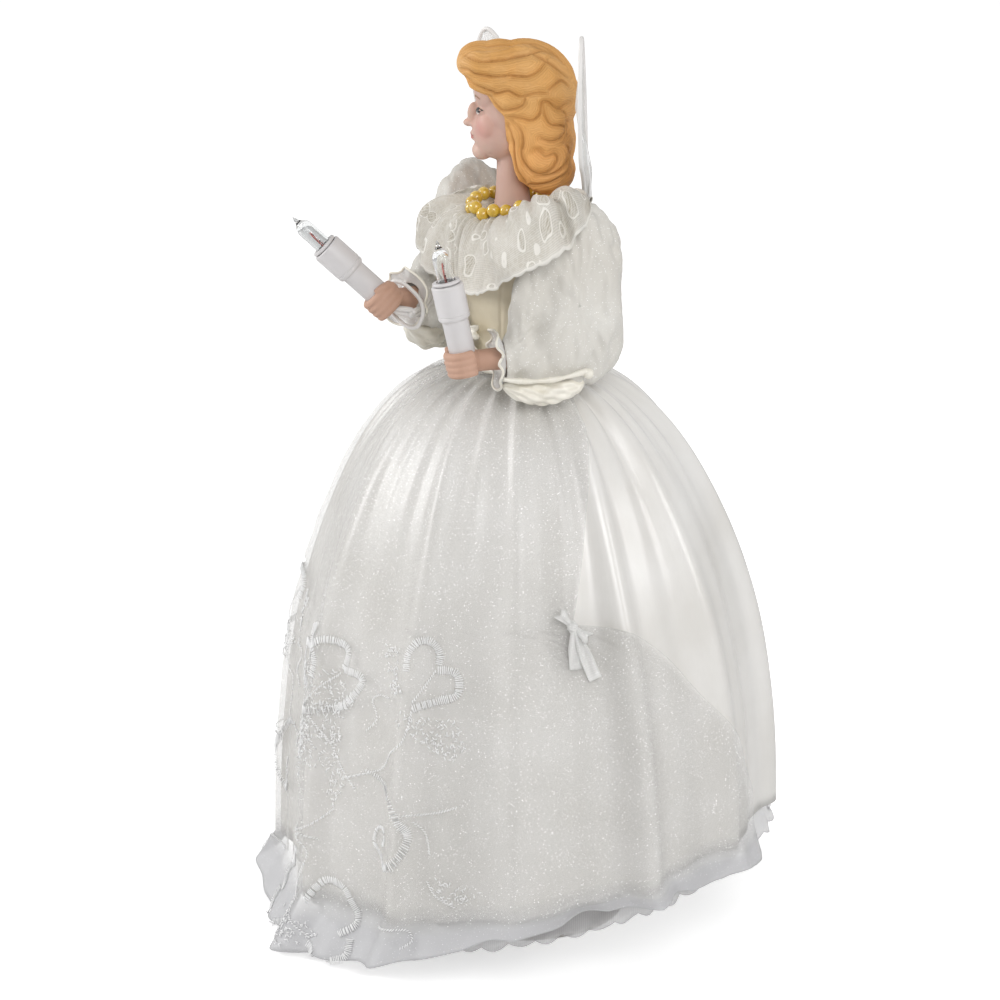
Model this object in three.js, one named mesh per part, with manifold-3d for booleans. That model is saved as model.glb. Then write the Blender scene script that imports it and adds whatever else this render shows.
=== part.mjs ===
// Lighted angel tree topper: a bisque doll in a satin gown, on a hollow cone that slips over a tree's leader.
// Millimetres, +Z up. The origin is on the resting plane, at the cone's axis.
// The figure faces -Y, its left is +X.
import * as THREE from 'three';
import { mergeVertices } from 'three/addons/utils/BufferGeometryUtils.js';
import Module from 'manifold-3d';

const wasm = await Module();
wasm.setup();

// Clearances
const FIT = 0.3; // between pieces that touch
const ARM_CLEARANCE = 0.7; // between the gown's side and an arm that swings past it

// Cone over the tree's leader
const CONE_HEIGHT = 158;
const CONE_BASE_RADIUS = 27;
const CONE_TOP_RADIUS = 10.5;
const CONE_WALL = 1.2;
const FLANGE_WIDTH = 4;
const FLANGE_THICKNESS = 1.6;
const GLAND_HEIGHT = 9; // of the cord gland's axis above the base
const GLAND_RADIUS = 3.2;
const GLAND_BORE = 1.5;
const GLAND_LENGTH = 5;

// Stuffed body
const PLUG_LENGTH = 8; // into the cone's top
const WAIST_RISE = 7.5; // of the waist over the cone's top
const WAIST_RADIUS = 13.5;
const TORSO_HEIGHT = 40.5; // waist to shoulder axis
const CHEST_HALF_WIDTH = 15.2;
const CHEST_HALF_DEPTH = 12;
const TORSO_CROWN = 5; // of the body's top over the shoulder axis

// Bisque bust: shoulder plate, neck and head in one casting
const PLATE_WALL = 2;
const PLATE_DROP = 7; // of the plate's edge below the shoulder axis
const PLATE_RISE = 14.5; // from its edge to the neck's root
const NECK_RADIUS = 5.8;
const NECK_FORWARD = 2.5;
const HEAD_RISE = 37; // of the head's centre over the shoulder axis
const HEAD_TURN = THREE.MathUtils.degToRad(-28); // to the figure's right
const HEAD_FORWARD = 1;
const FACE_HALF_WIDTH = 11.5;
const FACE_HALF_DEPTH = 13;
const FACE_HALF_HEIGHT = 15.5;
const HAIR_THICKNESS = 2.6;
const CASTING_BORE = 3.6;
// Lobes of the head: half width, half depth, half height, then the place from the head's centre
const CHIN = [7, 6.5, 8, 0, -7.5, -10.2];
const NOSE = [1.7, 2.6, 2.8, 0, -13.4, -5];
const FRINGE = [11.5, 6.5, 6, 0, -11.5, 9.5];
const NAPE_LOCK = [6, 5.6, 8, 0, 9.4, -16.5];
const SIDE_LOCKS = [
  [4.6, 8.5, 11.5, 10.5, 1.5, -5],
  [5.2, 6.5, 7.5, 7, 7.5, -14.5],
  [4.4, 5, 6, 9.5, 5, -20.1],
];

// Bodice, sash and chest bow
const BODICE_CLOTH = 0.8;
const BODICE_TOP_DROP = 2.2; // below the shoulder axis
const SASH_WIDTH = 4.5;
const SASH_THICKNESS = 1;
const BOW_WIDTH = 11;
const BOW_HEIGHT = 6;
const BOW_TAIL_WIDTH = 2.2;

// Lace collar and pearls
const COLLAR_THICKNESS = 0.8;
const COLLAR_NECK_RADIUS = 8.6;
const COLLAR_FRONT_REACH = 20.5;
const COLLAR_BACK_REACH = 17;
const COLLAR_FRONT_DROP = 15; // of the front edge below the shoulder axis
const COLLAR_BACK_DROP = 2.4; // of the back edge below its sides
const COLLAR_RUFFLES = 14;
const COLLAR_RUFFLE_DEPTH = 0.6;
const PEARL_RADIUS = 1.95;
const PEARL_COUNT = 22;
const PEARL_STRING_RADIUS = 0.6;
const PEARL_RING_SIDE = 13.4;
const PEARL_RING_FRONT = 15;

// Gown: satin skirt, net petticoat, organza overskirt
const SKIRT_RADIUS = 70;
const SKIRT_CLOTH = 1.2;
const HEM_FRONT = 16;
const HEM_BACK = 36;
const HEM_SIDE_LIFT = 3; // over the slope from front to back
const BELL_POWER = 0.95; // how square the bell's shoulder is
const FOLD_COUNT = 12;
const FOLD_DEPTH = 2.4;
const SKIRT_LEAN = 0.5; // of the upper bell toward the front
const SKIRT_TRAIL = 3; // of the hem toward the back
const SKIRT_COLUMNS = 60;
const PETTICOAT_CLOTH = 0.8;
const PETTICOAT_DROP = 8; // below the satin's hem
const PETTICOAT_FLARE = 8; // of its lower edge at the back
const OVERSKIRT_CLOTH = 0.8;
const OVERSKIRT_STAND = 1; // off the satin at the hem
const OVERSKIRT_HEM_FRONT = 1;
const OVERSKIRT_HEM_SIDE = 26;
const OVERSKIRT_FLARE = 8;
const PANEL_WAIST_ANGLE = THREE.MathUtils.degToRad(12); // of its left edge, from +X toward the back
const PANEL_KNOT_ANGLE = THREE.MathUtils.degToRad(-16);
const PANEL_HEM_ANGLE = THREE.MathUtils.degToRad(40);
const KNOT_LATITUDE = THREE.MathUtils.degToRad(56); // down the bell from the waist
const KNOT_RADIUS = 3.4;
const SWAG_LOOP_LENGTH = 13;
const SWAG_TAIL_LENGTH = 17;
const RIBBON_WIDTH = 6;
const RIBBON_THICKNESS = 1;
const RIBBON_LIFT = 0.3; // radians off the cloth
const RIBBON_SPREAD = 0.33; // radians from the bow's own axes

// Arms: a wire across the shoulders, stuffed upper arms, bisque forearms with hands
const SHOULDER_BACK = 0;
const SHOULDER_WIRE_RADIUS = 1;
const SHOULDER_WIRE_REACH = 7.5; // into each upper arm
const SLEEVE_MIDDLE = 9.7; // from a sleeve's inner face to the middle of its cap
const UPPER_ARM_RADIUS = 4.6;
const FOREARM_RADIUS = 4;
const WRIST_RADIUS = 3.3;
const FIST_HALF_WIDTH = 4.8;
const FIST_HALF_LENGTH = 5.6;
const FIST_HALF_HEIGHT = 4.8;
const SLEEVE_CAP_RADIUS = 15;
const SLEEVE_HALF_WIDTH = 10.5;
const SLEEVE_WRIST_HALF_WIDTH = 6.5;
const SLEEVE_SAG = 8.5; // of its underside below the wrist
const SLEEVE_GATHERS = 7;
const GATHER_SHARE = 0.07; // of its width
const CUFF_RADIUS = 8.6;
const CUFF_LENGTH = 3.6;
const CUFF_RUFFLES = 7;
const CUFF_CLOTH = 0.8;
const CUFF_BOW_LOBE = [4.4, 4.6, 3.6, 0, 0, 0.3];
const CUFF_BOW_STEP = 6.4;
const TIE_WIRE_RADIUS = 0.6;

// Lamps held in the hands: push-in miniature lamps
const SOCKET_RADIUS = 4.5;
const SOCKET_NECK_RADIUS = 3.7;
const SOCKET_HEAD_LENGTH = 10.3;
const SOCKET_NECK_LENGTH = 14.5;
const SOCKET_BORE = 3.2;
const SOCKET_BELOW_HAND = 2;
const SOCKET_FLOOR = 3; // of solid neck below the bore
const BULB_SLIDE_FIT = 0.25;
const BULB_COLLAR_RADIUS = 4;
const BULB_COLLAR_HEIGHT = 0.8;
const BULB_GLASS_RADIUS = 2.45;
const BULB_GLASS_WALL = 0.45;
const BULB_GLASS_LENGTH = 16; // base to tip, with the seat
const BULB_SEAT_DEPTH = 4.5;
const BULB_TIP_LENGTH = 4;
const LEAD_HALF_WIDTH = 1.7; // two wires side by side
const LEAD_HALF_THICKNESS = 0.9;
const LEAD_TURN = 1.5; // of straight lead below the socket
const HARNESS_RADIUS = 1.1;
const HARNESS_DROP = 4; // below the shoulder axis
const HARNESS_FORWARD = 5; // of the shoulder axis

// Wings: wire frames with cloth panels, hinged on pins at the back
const WING_SPAN = 38;
// Sweep is forward of square, rise is over the shoulder
const WINGS = {
  left: { side: 1, sweep: THREE.MathUtils.degToRad(33), rise: 60 },
  right: { side: -1, sweep: THREE.MathUtils.degToRad(20), rise: 51 },
};
const WING_WIRE_RADIUS = 0.7;
const WING_CLOTH = 0.6;
const PIN_RADIUS = 0.9;
const PIN_HALF_SPACING = 4.5;
const PIN_BACK = 2.4; // of the bracket's plate
const BARREL_WALL = 0.9;
const BRACKET_HALF_WIDTH = 6;
const BRACKET_HEIGHT = 14;
const BRACKET_THICKNESS = 1.5;
const BRACKET_DROP = 16; // of its foot below the shoulder axis
const LUG_THICKNESS = 1.5;
const LUG_EDGE = 0.8; // of material past the pin

// Places that follow from the sizes above
const WAIST_Z = CONE_HEIGHT + WAIST_RISE;
const SHOULDER_Z = WAIST_Z + TORSO_HEIGHT;
const PLATE_Z = SHOULDER_Z - PLATE_DROP;
const PLATE_HALF_WIDTH = CHEST_HALF_WIDTH + FIT + PLATE_WALL;
const PLATE_HALF_DEPTH = CHEST_HALF_DEPTH + FIT + PLATE_WALL;
const BODICE_HALF_WIDTH = PLATE_HALF_WIDTH + FIT + BODICE_CLOTH;
const BODICE_HALF_DEPTH = PLATE_HALF_DEPTH + FIT + BODICE_CLOTH;
const BODICE_TOP_Z = SHOULDER_Z - BODICE_TOP_DROP;
const SKIRT_NECK_RADIUS = WAIST_RADIUS + FIT;
const OVERSKIRT_SEAM = 0.4; // gap to the satin at the waist
const BODICE_FOOT_Z = WAIST_Z + OVERSKIRT_SEAM + OVERSKIRT_CLOTH + FIT;
const ARM_INNER_X = BODICE_HALF_WIDTH + ARM_CLEARANCE;
const SHOULDER_HALF_WIDTH = ARM_INNER_X + SLEEVE_MIDDLE;
const HARNESS_Y = SHOULDER_BACK - HARNESS_FORWARD;
const HARNESS_Z = SHOULDER_Z - HARNESS_DROP;

// Each arm: outward from the sleeve's inner face, back and up from its shoulder pivot
const ARMS = {
  left: {
    side: 1,
    elbow: [13.7, 6, -28],
    hand: [3.4, -29.8, -30],
    lamp: [-0.1, -0.19, 0.976],
  },
  right: {
    side: -1,
    elbow: [13.7, 4, -26],
    hand: [-1.1, -34.2, -20.8],
    lamp: [0.343, -0.648, 0.68],
  },
};

const paint = (color, roughness, metalness = 0) => ({ color, roughness, metalness });
const PAINT = {
  bisque: paint(0xe2b8a2, 0.55),
  satin: paint(0xe9dfc4, 0.35),
  organza: paint(0xe6e1d4, 0.6),
  lace: paint(0xe9e3d2, 0.8),
  net: paint(0xe2dccb, 0.8),
  stuffing: paint(0xe8e0d0, 0.9),
  pearl: paint(0xf0e2ae, 0.25),
  plastic: paint(0xf0efe8, 0.4),
  card: paint(0xcfc5b0, 0.85),
  glass: paint(0xeef2f2, 0.05),
  wire: paint(0xb9b4a6, 0.35, 0.9),
  insulation: paint(0xf1f0ea, 0.45),
};

function piece(name, geometry, look) {
  const mesh = new THREE.Mesh(geometry, new THREE.MeshStandardMaterial(look));
  mesh.name = name;
  return mesh;
}

// Joins shared vertices and drops triangles that have closed to a line
function closed(geometry) {
  const bare = new THREE.BufferGeometry();
  bare.setAttribute('position', geometry.getAttribute('position').clone());
  if (geometry.index) {
    bare.setIndex(geometry.index.clone());
  }
  const merged = mergeVertices(bare, 1e-4);
  const faces = [];
  for (let i = 0; i < merged.index.count; i += 3) {
    const [a, b, c] = [0, 1, 2].map((k) => merged.index.getX(i + k));
    if (a !== b && b !== c && c !== a) {
      faces.push(a, b, c);
    }
  }
  merged.setIndex(faces);
  return merged;
}

// A body from points and faces, turned so that its faces point out
function body(points, faces) {
  let volume = 0;
  for (let i = 0; i < faces.length; i += 3) {
    const [a, b, c] = [points[faces[i]], points[faces[i + 1]], points[faces[i + 2]]];
    volume += a.dot(b.clone().cross(c));
  }
  const turned = [];
  for (let i = 0; i < faces.length; i += 3) {
    turned.push(faces[i], faces[volume < 0 ? i + 2 : i + 1], faces[volume < 0 ? i + 1 : i + 2]);
  }
  const geometry = new THREE.BufferGeometry().setFromPoints(points);
  geometry.setIndex(turned);
  return closed(geometry);
}

function band(faces, from, to, count) {
  for (let j = 0; j < count; j++) {
    const next = (j + 1) % count;
    faces.push(from + j, from + next, to + next, from + j, to + next, to + j);
  }
}

// A solid through rings of equal count, closed at both ends
function loft(rings) {
  const count = rings[0].length;
  const points = rings.flat();
  const faces = [];
  for (let i = 0; i + 1 < rings.length; i++) {
    band(faces, i * count, (i + 1) * count, count);
  }
  for (const [ring, start] of [[rings[0], 0], [rings.at(-1), (rings.length - 1) * count]]) {
    const middle = new THREE.Vector3();
    ring.forEach((p) => middle.addScaledVector(p, 1 / count));
    const hub = points.push(middle) - 1;
    for (let j = 0; j < count; j++) {
      const next = start + (j + 1) % count;
      faces.push(hub, start ? start + j : next, start ? next : start + j);
    }
  }
  return body(points, faces);
}

// A tube-like shell: rings down its outside, then up its inside, closed on themselves
function shell(outside, inside) {
  const rings = [...outside, ...inside.toReversed()];
  const count = rings[0].length;
  const faces = [];
  rings.forEach((ring, i) => band(faces, i * count, ((i + 1) % rings.length) * count, count));
  return body(rings.flat(), faces);
}

function ellipse(halfWidth, halfDepth, z, count, x = 0, y = 0) {
  return Array.from({ length: count }, (_, j) => {
    const angle = (2 * Math.PI * j) / count;
    return new THREE.Vector3(x + halfWidth * Math.cos(angle), y + halfDepth * Math.sin(angle), z);
  });
}

function tube(points, radius, steps, sides = 8, otherRadius = radius) {
  const path = new THREE.CatmullRomCurve3(points);
  const section = new THREE.Shape(
    Array.from({ length: sides }, (_, j) => {
      const angle = (2 * Math.PI * j) / sides;
      return new THREE.Vector2(radius * Math.cos(angle), otherRadius * Math.sin(angle));
    }),
  );
  return new THREE.ExtrudeGeometry(section, { steps, bevelEnabled: false, extrudePath: path });
}

function rod(from, to, radius, sides = 12) {
  return tube([from, to], radius, 1, sides);
}

function ball(halfWidth, halfDepth, halfHeight, x, y, z, around = 10, down = 7) {
  const geometry = new THREE.SphereGeometry(1, around, down);
  geometry.rotateX(Math.PI / 2);
  geometry.scale(halfWidth, halfDepth, halfHeight);
  geometry.translate(x, y, z);
  return geometry;
}

function block(width, depth, height, x, y, z) {
  return new THREE.BoxGeometry(width, depth, height).translate(x, y, z);
}

// A turned piece about +Z, from its [radius, height] outline
function turned(outline, segments) {
  const points = outline.map(([r, z]) => new THREE.Vector2(r, z));
  return new THREE.LatheGeometry(points, segments).rotateX(Math.PI / 2);
}

function solid(geometry) {
  const merged = closed(geometry);
  const mesh = new wasm.Mesh({
    numProp: 3,
    vertProperties: new Float32Array(merged.getAttribute('position').array),
    triVerts: new Uint32Array(merged.index.array),
  });
  return new wasm.Manifold(mesh);
}

function join(...geometries) {
  return geometries.map(solid).reduce((whole, one) => whole.add(one));
}

function cut(whole, ...geometries) {
  return geometries.map(solid).reduce((left, one) => left.subtract(one), whole);
}

function shape(whole) {
  const mesh = whole.getMesh();
  const geometry = new THREE.BufferGeometry();
  geometry.setAttribute('position', new THREE.BufferAttribute(mesh.vertProperties, 3));
  geometry.setIndex(new THREE.BufferAttribute(mesh.triVerts, 1));
  return geometry;
}

const at = (x, y, z) => new THREE.Vector3(x, y, z);

// Cone, flange and gland
function coneRadius(z) {
  return CONE_BASE_RADIUS + ((CONE_TOP_RADIUS - CONE_BASE_RADIUS) * z) / CONE_HEIGHT;
}

const GLAND_Y = coneRadius(GLAND_HEIGHT);

function glandHole(radius, length) {
  return rod(at(0, GLAND_Y - length / 2, GLAND_HEIGHT), at(0, GLAND_Y + length / 2, GLAND_HEIGHT), radius);
}

function treeCone() {
  const outline = [
    [CONE_BASE_RADIUS - CONE_WALL, 0],
    [CONE_BASE_RADIUS + FLANGE_WIDTH, 0],
    [CONE_BASE_RADIUS + FLANGE_WIDTH, FLANGE_THICKNESS],
    [coneRadius(FLANGE_THICKNESS), FLANGE_THICKNESS],
    [CONE_TOP_RADIUS, CONE_HEIGHT],
    [CONE_TOP_RADIUS - CONE_WALL, CONE_HEIGHT],
    [CONE_BASE_RADIUS - CONE_WALL, 0],
  ];
  return shape(cut(solid(turned(outline, 30)), glandHole(GLAND_RADIUS + FIT, 4 * CONE_WALL)));
}

function cordGland() {
  return shape(cut(solid(glandHole(GLAND_RADIUS, GLAND_LENGTH)), glandHole(GLAND_BORE, 2 * GLAND_LENGTH)));
}

// Body, with a grown copy for what fits over it
function torsoCore(grow = 0) {
  const count = 16;
  const plug = CONE_TOP_RADIUS - CONE_WALL - FIT;
  const foot = CONE_HEIGHT + FIT;
  const chest = WAIST_Z + TORSO_HEIGHT * 0.66;
  const rings = [
    ellipse(plug, plug, CONE_HEIGHT - PLUG_LENGTH, count),
    ellipse(plug, plug, foot, count),
    ellipse(WAIST_RADIUS - 1, WAIST_RADIUS - 1, foot, count),
    ellipse(WAIST_RADIUS, WAIST_RADIUS, WAIST_Z, count),
    ellipse(CHEST_HALF_WIDTH + grow, CHEST_HALF_DEPTH + grow, chest, count),
    ellipse(CHEST_HALF_WIDTH - 1 + grow, CHEST_HALF_DEPTH - 2 + grow, SHOULDER_Z, count),
    ellipse(CHEST_HALF_WIDTH / 2 + grow, CHEST_HALF_DEPTH / 2 + grow, SHOULDER_Z + TORSO_CROWN + grow, count),
  ];
  return loft(rings);
}

function shoulderHole(radius, reach) {
  return rod(at(-reach, SHOULDER_BACK, SHOULDER_Z), at(reach, SHOULDER_BACK, SHOULDER_Z), radius);
}

function harnessHole(radius, reach) {
  return rod(at(-reach, HARNESS_Y, HARNESS_Z), at(reach, HARNESS_Y, HARNESS_Z), radius);
}

function passages() {
  return [
    shoulderHole(SHOULDER_WIRE_RADIUS + FIT, 2 * BODICE_HALF_WIDTH),
    harnessHole(HARNESS_RADIUS + FIT, 2 * BODICE_HALF_WIDTH),
  ];
}

function stuffedTorso() {
  const bore = rod(
    at(0, HARNESS_Y, CONE_HEIGHT - 2 * PLUG_LENGTH),
    at(0, HARNESS_Y, HARNESS_Z),
    HARNESS_RADIUS + FIT,
  );
  return shape(cut(solid(torsoCore()), ...passages(), bore));
}

// The leads from both shoulders join in the body and run down the cone's back wall to the gland
function leadHarness() {
  const across = harnessHole(HARNESS_RADIUS, BODICE_HALF_WIDTH + ARM_CLEARANCE / 3);
  const low = CONE_HEIGHT - PLUG_LENGTH;
  const wall = (z) => coneRadius(z) - 2 * CONE_WALL - HARNESS_RADIUS - FIT;
  const down = tube(
    [
      at(0, HARNESS_Y, HARNESS_Z),
      at(0, HARNESS_Y, WAIST_Z),
      at(0, HARNESS_Y, low),
      at(0, wall(low * 0.8) * 0.6, low * 0.8),
      at(0, wall(low * 0.6), low * 0.6),
      at(0, wall(low * 0.3), low * 0.3),
      at(0, wall(2 * GLAND_HEIGHT), 2 * GLAND_HEIGHT),
      at(0, GLAND_Y - GLAND_LENGTH / 2 - FIT - 1, GLAND_HEIGHT),
      at(0, GLAND_Y - GLAND_LENGTH / 2 - FIT, GLAND_HEIGHT),
    ],
    HARNESS_RADIUS,
    20,
    6,
  );
  return shape(join(across, down));
}

// Bust
function plateTop(x, y) {
  const spread = (x / PLATE_HALF_WIDTH) ** 2 + (y / PLATE_HALF_DEPTH) ** 2;
  return PLATE_Z + PLATE_RISE * Math.sqrt(Math.max(0, 1 - spread));
}

function placeHead(geometry) {
  return geometry.rotateZ(HEAD_TURN).translate(0, -HEAD_FORWARD, SHOULDER_Z + HEAD_RISE);
}

function bust() {
  const hairWidth = FACE_HALF_WIDTH + HAIR_THICKNESS;
  const hairDepth = FACE_HALF_DEPTH + HAIR_THICKNESS;
  const plate = ball(PLATE_HALF_WIDTH, PLATE_HALF_DEPTH, PLATE_RISE, 0, 0, PLATE_Z, 16, 8);
  const neck = rod(
    at(0, -NECK_FORWARD, PLATE_Z + PLATE_RISE / 2),
    at(0, -NECK_FORWARD, SHOULDER_Z + HEAD_RISE - FACE_HALF_HEIGHT / 2),
    NECK_RADIUS,
    12,
  );
  const headPieces = [
    ball(FACE_HALF_WIDTH, FACE_HALF_DEPTH, FACE_HALF_HEIGHT, 0, -0.5, 0, 12, 8),
    ball(...CHIN, 8, 6),
    ball(...NOSE, 6, 4),
    ball(hairWidth, hairDepth, FACE_HALF_HEIGHT, 0, 2, 3, 12, 8),
    ball(...FRINGE, 8, 6),
    ball(...NAPE_LOCK, 8, 6),
  ];
  for (const side of [-1, 1]) {
    for (const [width, depth, height, x, y, z] of SIDE_LOCKS) {
      headPieces.push(ball(width, depth, height, side * x, y, z, 8, 6));
    }
  }
  const casting = join(plate, neck, ...headPieces.map(placeHead));
  const below = block(
    4 * PLATE_HALF_WIDTH,
    4 * PLATE_HALF_DEPTH,
    2 * PLATE_RISE,
    0,
    0,
    PLATE_Z - PLATE_RISE,
  );
  const bore = rod(at(0, -NECK_FORWARD, PLATE_Z), at(0, -NECK_FORWARD, SHOULDER_Z + HEAD_RISE), CASTING_BORE);
  const hollow = placeHead(ball(FACE_HALF_WIDTH - 3, FACE_HALF_DEPTH - 3, FACE_HALF_HEIGHT - 4, 0, 1, 1));
  return shape(cut(casting, below, torsoCore(FIT), bore, hollow, ...passages()));
}

// Bodice, sash and bow
function bodiceRing(height, grow, count = 24) {
  const fit = THREE.MathUtils.smoothstep(height, BODICE_FOOT_Z, PLATE_Z);
  const width = THREE.MathUtils.lerp(WAIST_RADIUS + FIT, PLATE_HALF_WIDTH + FIT, fit);
  const depth = THREE.MathUtils.lerp(WAIST_RADIUS + FIT, PLATE_HALF_DEPTH + FIT, fit);
  return ellipse(width + grow, depth + grow, height, count);
}

function bodice() {
  const levels = [0, 0.2, 0.45, 0.7, 1].map((t) => THREE.MathUtils.lerp(BODICE_FOOT_Z, BODICE_TOP_Z, t));
  const skin = shell(
    levels.map((z) => bodiceRing(z, BODICE_CLOTH)),
    levels.map((z) => bodiceRing(z, 0)),
  );
  return shape(cut(solid(skin), ...passages()));
}

function sash() {
  const levels = [BODICE_FOOT_Z, BODICE_FOOT_Z + SASH_WIDTH / 2, BODICE_FOOT_Z + SASH_WIDTH];
  const seat = BODICE_CLOTH + FIT;
  return shell(
    levels.map((z) => bodiceRing(z, seat + SASH_THICKNESS)),
    levels.map((z) => bodiceRing(z, seat)),
  );
}

function chestBow() {
  const z = BODICE_FOOT_Z + SASH_WIDTH + FIT + BOW_HEIGHT;
  const seat = bodiceRing(z + BOW_HEIGHT / 2, BODICE_CLOTH + FIT, 4)[3].y;
  const y = seat - RIBBON_THICKNESS;
  const parts = [ball(2, RIBBON_THICKNESS, 2, 0, y, z, 8, 4)];
  for (const side of [-1, 1]) {
    const loop = ball(BOW_WIDTH / 4, RIBBON_THICKNESS, BOW_HEIGHT / 2.4, (side * BOW_WIDTH) / 4, y, z, 8, 4);
    const tail = block(BOW_TAIL_WIDTH, RIBBON_THICKNESS, BOW_HEIGHT, 0, 0, -BOW_HEIGHT / 2);
    parts.push(loop, tail.rotateY(-side * RIBBON_SPREAD).translate(0, y, z));
  }
  return shape(join(...parts));
}

// Collar: an upright ruffle at the neck that falls over the bodice in front and behind
function collarPoint(angle, level, lift) {
  const front = Math.max(0, -Math.sin(angle)) ** 1.5;
  const behind = Math.max(0, Math.sin(angle)) ** 1.5;
  const reachY = Math.sin(angle) < 0 ? COLLAR_FRONT_REACH : COLLAR_BACK_REACH;
  const outline = 1 / Math.hypot(Math.cos(angle) / BODICE_HALF_WIDTH, Math.sin(angle) / reachY);
  const radius = THREE.MathUtils.lerp(COLLAR_NECK_RADIUS, outline, [0, 0.42, 0.74, 1][level]);
  const seat = SHOULDER_WIRE_RADIUS + 2 * FIT + COLLAR_RUFFLE_DEPTH;
  const neck = plateTop(COLLAR_NECK_RADIUS, 0) - SHOULDER_Z + FIT;
  const side = [neck, neck - 1.2, neck - 2.4, seat + 0.4][level];
  const fall = [0, 0.2, 2.6, COLLAR_FRONT_DROP + seat][level];
  const drop = [0, 0.2, 0.8, COLLAR_BACK_DROP][level];
  const ripple = Math.cos(COLLAR_RUFFLES * angle) * COLLAR_RUFFLE_DEPTH * [0, 0, 0.4, 1][level];
  const z = SHOULDER_Z + side - fall * front - drop * behind + ripple + lift;
  return at(radius * Math.cos(angle), radius * Math.sin(angle), z);
}

function laceCollar() {
  const columns = 3 * COLLAR_RUFFLES;
  const ring = (level, lift) =>
    Array.from({ length: columns }, (_, j) => collarPoint((2 * Math.PI * j) / columns, level, lift));
  const levels = [0, 1, 2, 3];
  return shell(
    levels.map((level) => ring(level, COLLAR_THICKNESS)),
    levels.map((level) => ring(level, 0)),
  );
}

// Pearls on one string, lying on the collar
function pearlPoint(angle) {
  const front = Math.sin(angle) < 0;
  const radiusY = front ? PEARL_RING_FRONT : PEARL_RING_SIDE;
  const [x, y] = [PEARL_RING_SIDE * Math.cos(angle), radiusY * Math.sin(angle)];
  const heading = Math.atan2(y, x);
  const [inner, outer] = [collarPoint(heading, 1, 0), collarPoint(heading, 2, 0)];
  const [near, far] = [inner, outer].map((p) => Math.hypot(p.x, p.y));
  const share = (Math.hypot(x, y) - near) / (far - near);
  const seat = Math.max(THREE.MathUtils.lerp(inner.z, outer.z, share), outer.z);
  return at(x, y, seat + COLLAR_THICKNESS + 2.5 * FIT + PEARL_RADIUS);
}

function pearlNecklace() {
  const sides = 5;
  const rounds = [PEARL_STRING_RADIUS, 0.82 * PEARL_RADIUS, PEARL_RADIUS, 0.82 * PEARL_RADIUS];
  const count = PEARL_COUNT * rounds.length;
  const rings = Array.from({ length: count }, (_, i) => {
    const angle = (2 * Math.PI * i) / count;
    const centre = pearlPoint(angle);
    const out = at(centre.x, centre.y, 0).normalize();
    const radius = rounds[i % rounds.length];
    return Array.from({ length: sides }, (_unused, k) => {
      const round = (2 * Math.PI * k) / sides;
      const spread = centre.clone().addScaledVector(out, radius * Math.cos(round));
      return spread.add(at(0, 0, radius * Math.sin(round)));
    });
  });
  const faces = [];
  rings.forEach((_, i) => band(faces, i * sides, ((i + 1) % count) * sides, sides));
  return body(rings.flat(), faces);
}

// Gown: one folded bell that the three layers share.
// Latitude runs from 0 at the waist to a quarter turn at the hem.
function hem(angle) {
  const slope = (HEM_FRONT + HEM_BACK) / 2 + ((HEM_BACK - HEM_FRONT) / 2) * Math.sin(angle);
  return slope + HEM_SIDE_LIFT * Math.cos(angle) ** 2;
}

function fold(angle) {
  return Math.cos(FOLD_COUNT * angle + 0.8 * Math.sin(2 * angle)) * (0.8 + 0.2 * Math.cos(5 * angle));
}

function bellPoint(angle, latitude, offset, foldShare = 1) {
  const swell = SKIRT_RADIUS - SKIRT_NECK_RADIUS;
  const drop = WAIST_Z - hem(angle);
  const [s, c] = [Math.sin(latitude), Math.max(Math.cos(latitude), 1e-6)];
  const normal = new THREE.Vector2(BELL_POWER * drop * c ** (BELL_POWER - 1) * s, swell * c).normalize();
  const lift = offset + foldShare * FOLD_DEPTH * fold(angle) * s ** 0.8;
  const radius = SKIRT_NECK_RADIUS + swell * s + lift * normal.x;
  const z = WAIST_Z - drop * (1 - c ** BELL_POWER) + lift * normal.y;
  const shift = SKIRT_TRAIL * s ** 2 - SKIRT_LEAN * Math.sin(2 * latitude);
  return at(radius * Math.cos(angle), radius * Math.sin(angle) + shift, z);
}

const LATITUDES = [0, 0.25, 0.5, 0.75, 1]
  .map((t) => t * KNOT_LATITUDE)
  .concat([0.36, 0.7, 1].map((t) => THREE.MathUtils.lerp(KNOT_LATITUDE, Math.PI / 2, t)));

function bellRing(latitude, offset, foldShare, columns) {
  return Array.from({ length: columns }, (_, j) =>
    bellPoint((2 * Math.PI * j) / columns, latitude, offset, foldShare),
  );
}

function satinSkirt() {
  return shell(
    LATITUDES.map((latitude) => bellRing(latitude, 0, 1, SKIRT_COLUMNS)),
    LATITUDES.map((latitude) => bellRing(latitude, -SKIRT_CLOTH, 1, SKIRT_COLUMNS)),
  );
}

// The petticoat hangs inside the deepest folds and shows below the satin's hem
function petticoat() {
  const columns = SKIRT_COLUMNS / 2;
  const outer = -SKIRT_CLOTH - FOLD_DEPTH - FIT;
  const rows = (offset) => {
    const rings = [1, 3, 5, 7].map((i) => bellRing(LATITUDES[i], offset, 0, columns));
    const edge = rings.at(-1).map((p) => {
      const angle = Math.atan2(p.y, p.x);
      const flare = PETTICOAT_FLARE * THREE.MathUtils.smoothstep(Math.sin(angle), 0.6, 1);
      const reach = 1 + flare / Math.hypot(p.x, p.y);
      return at(p.x * reach, p.y * reach, p.z - PETTICOAT_DROP);
    });
    const under = rings.at(-1).map((p) => at(p.x, p.y, p.z - 2 * FIT - SKIRT_CLOTH));
    return [...rings, under, edge];
  };
  return shell(rows(outer), rows(outer - PETTICOAT_CLOTH));
}

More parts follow.
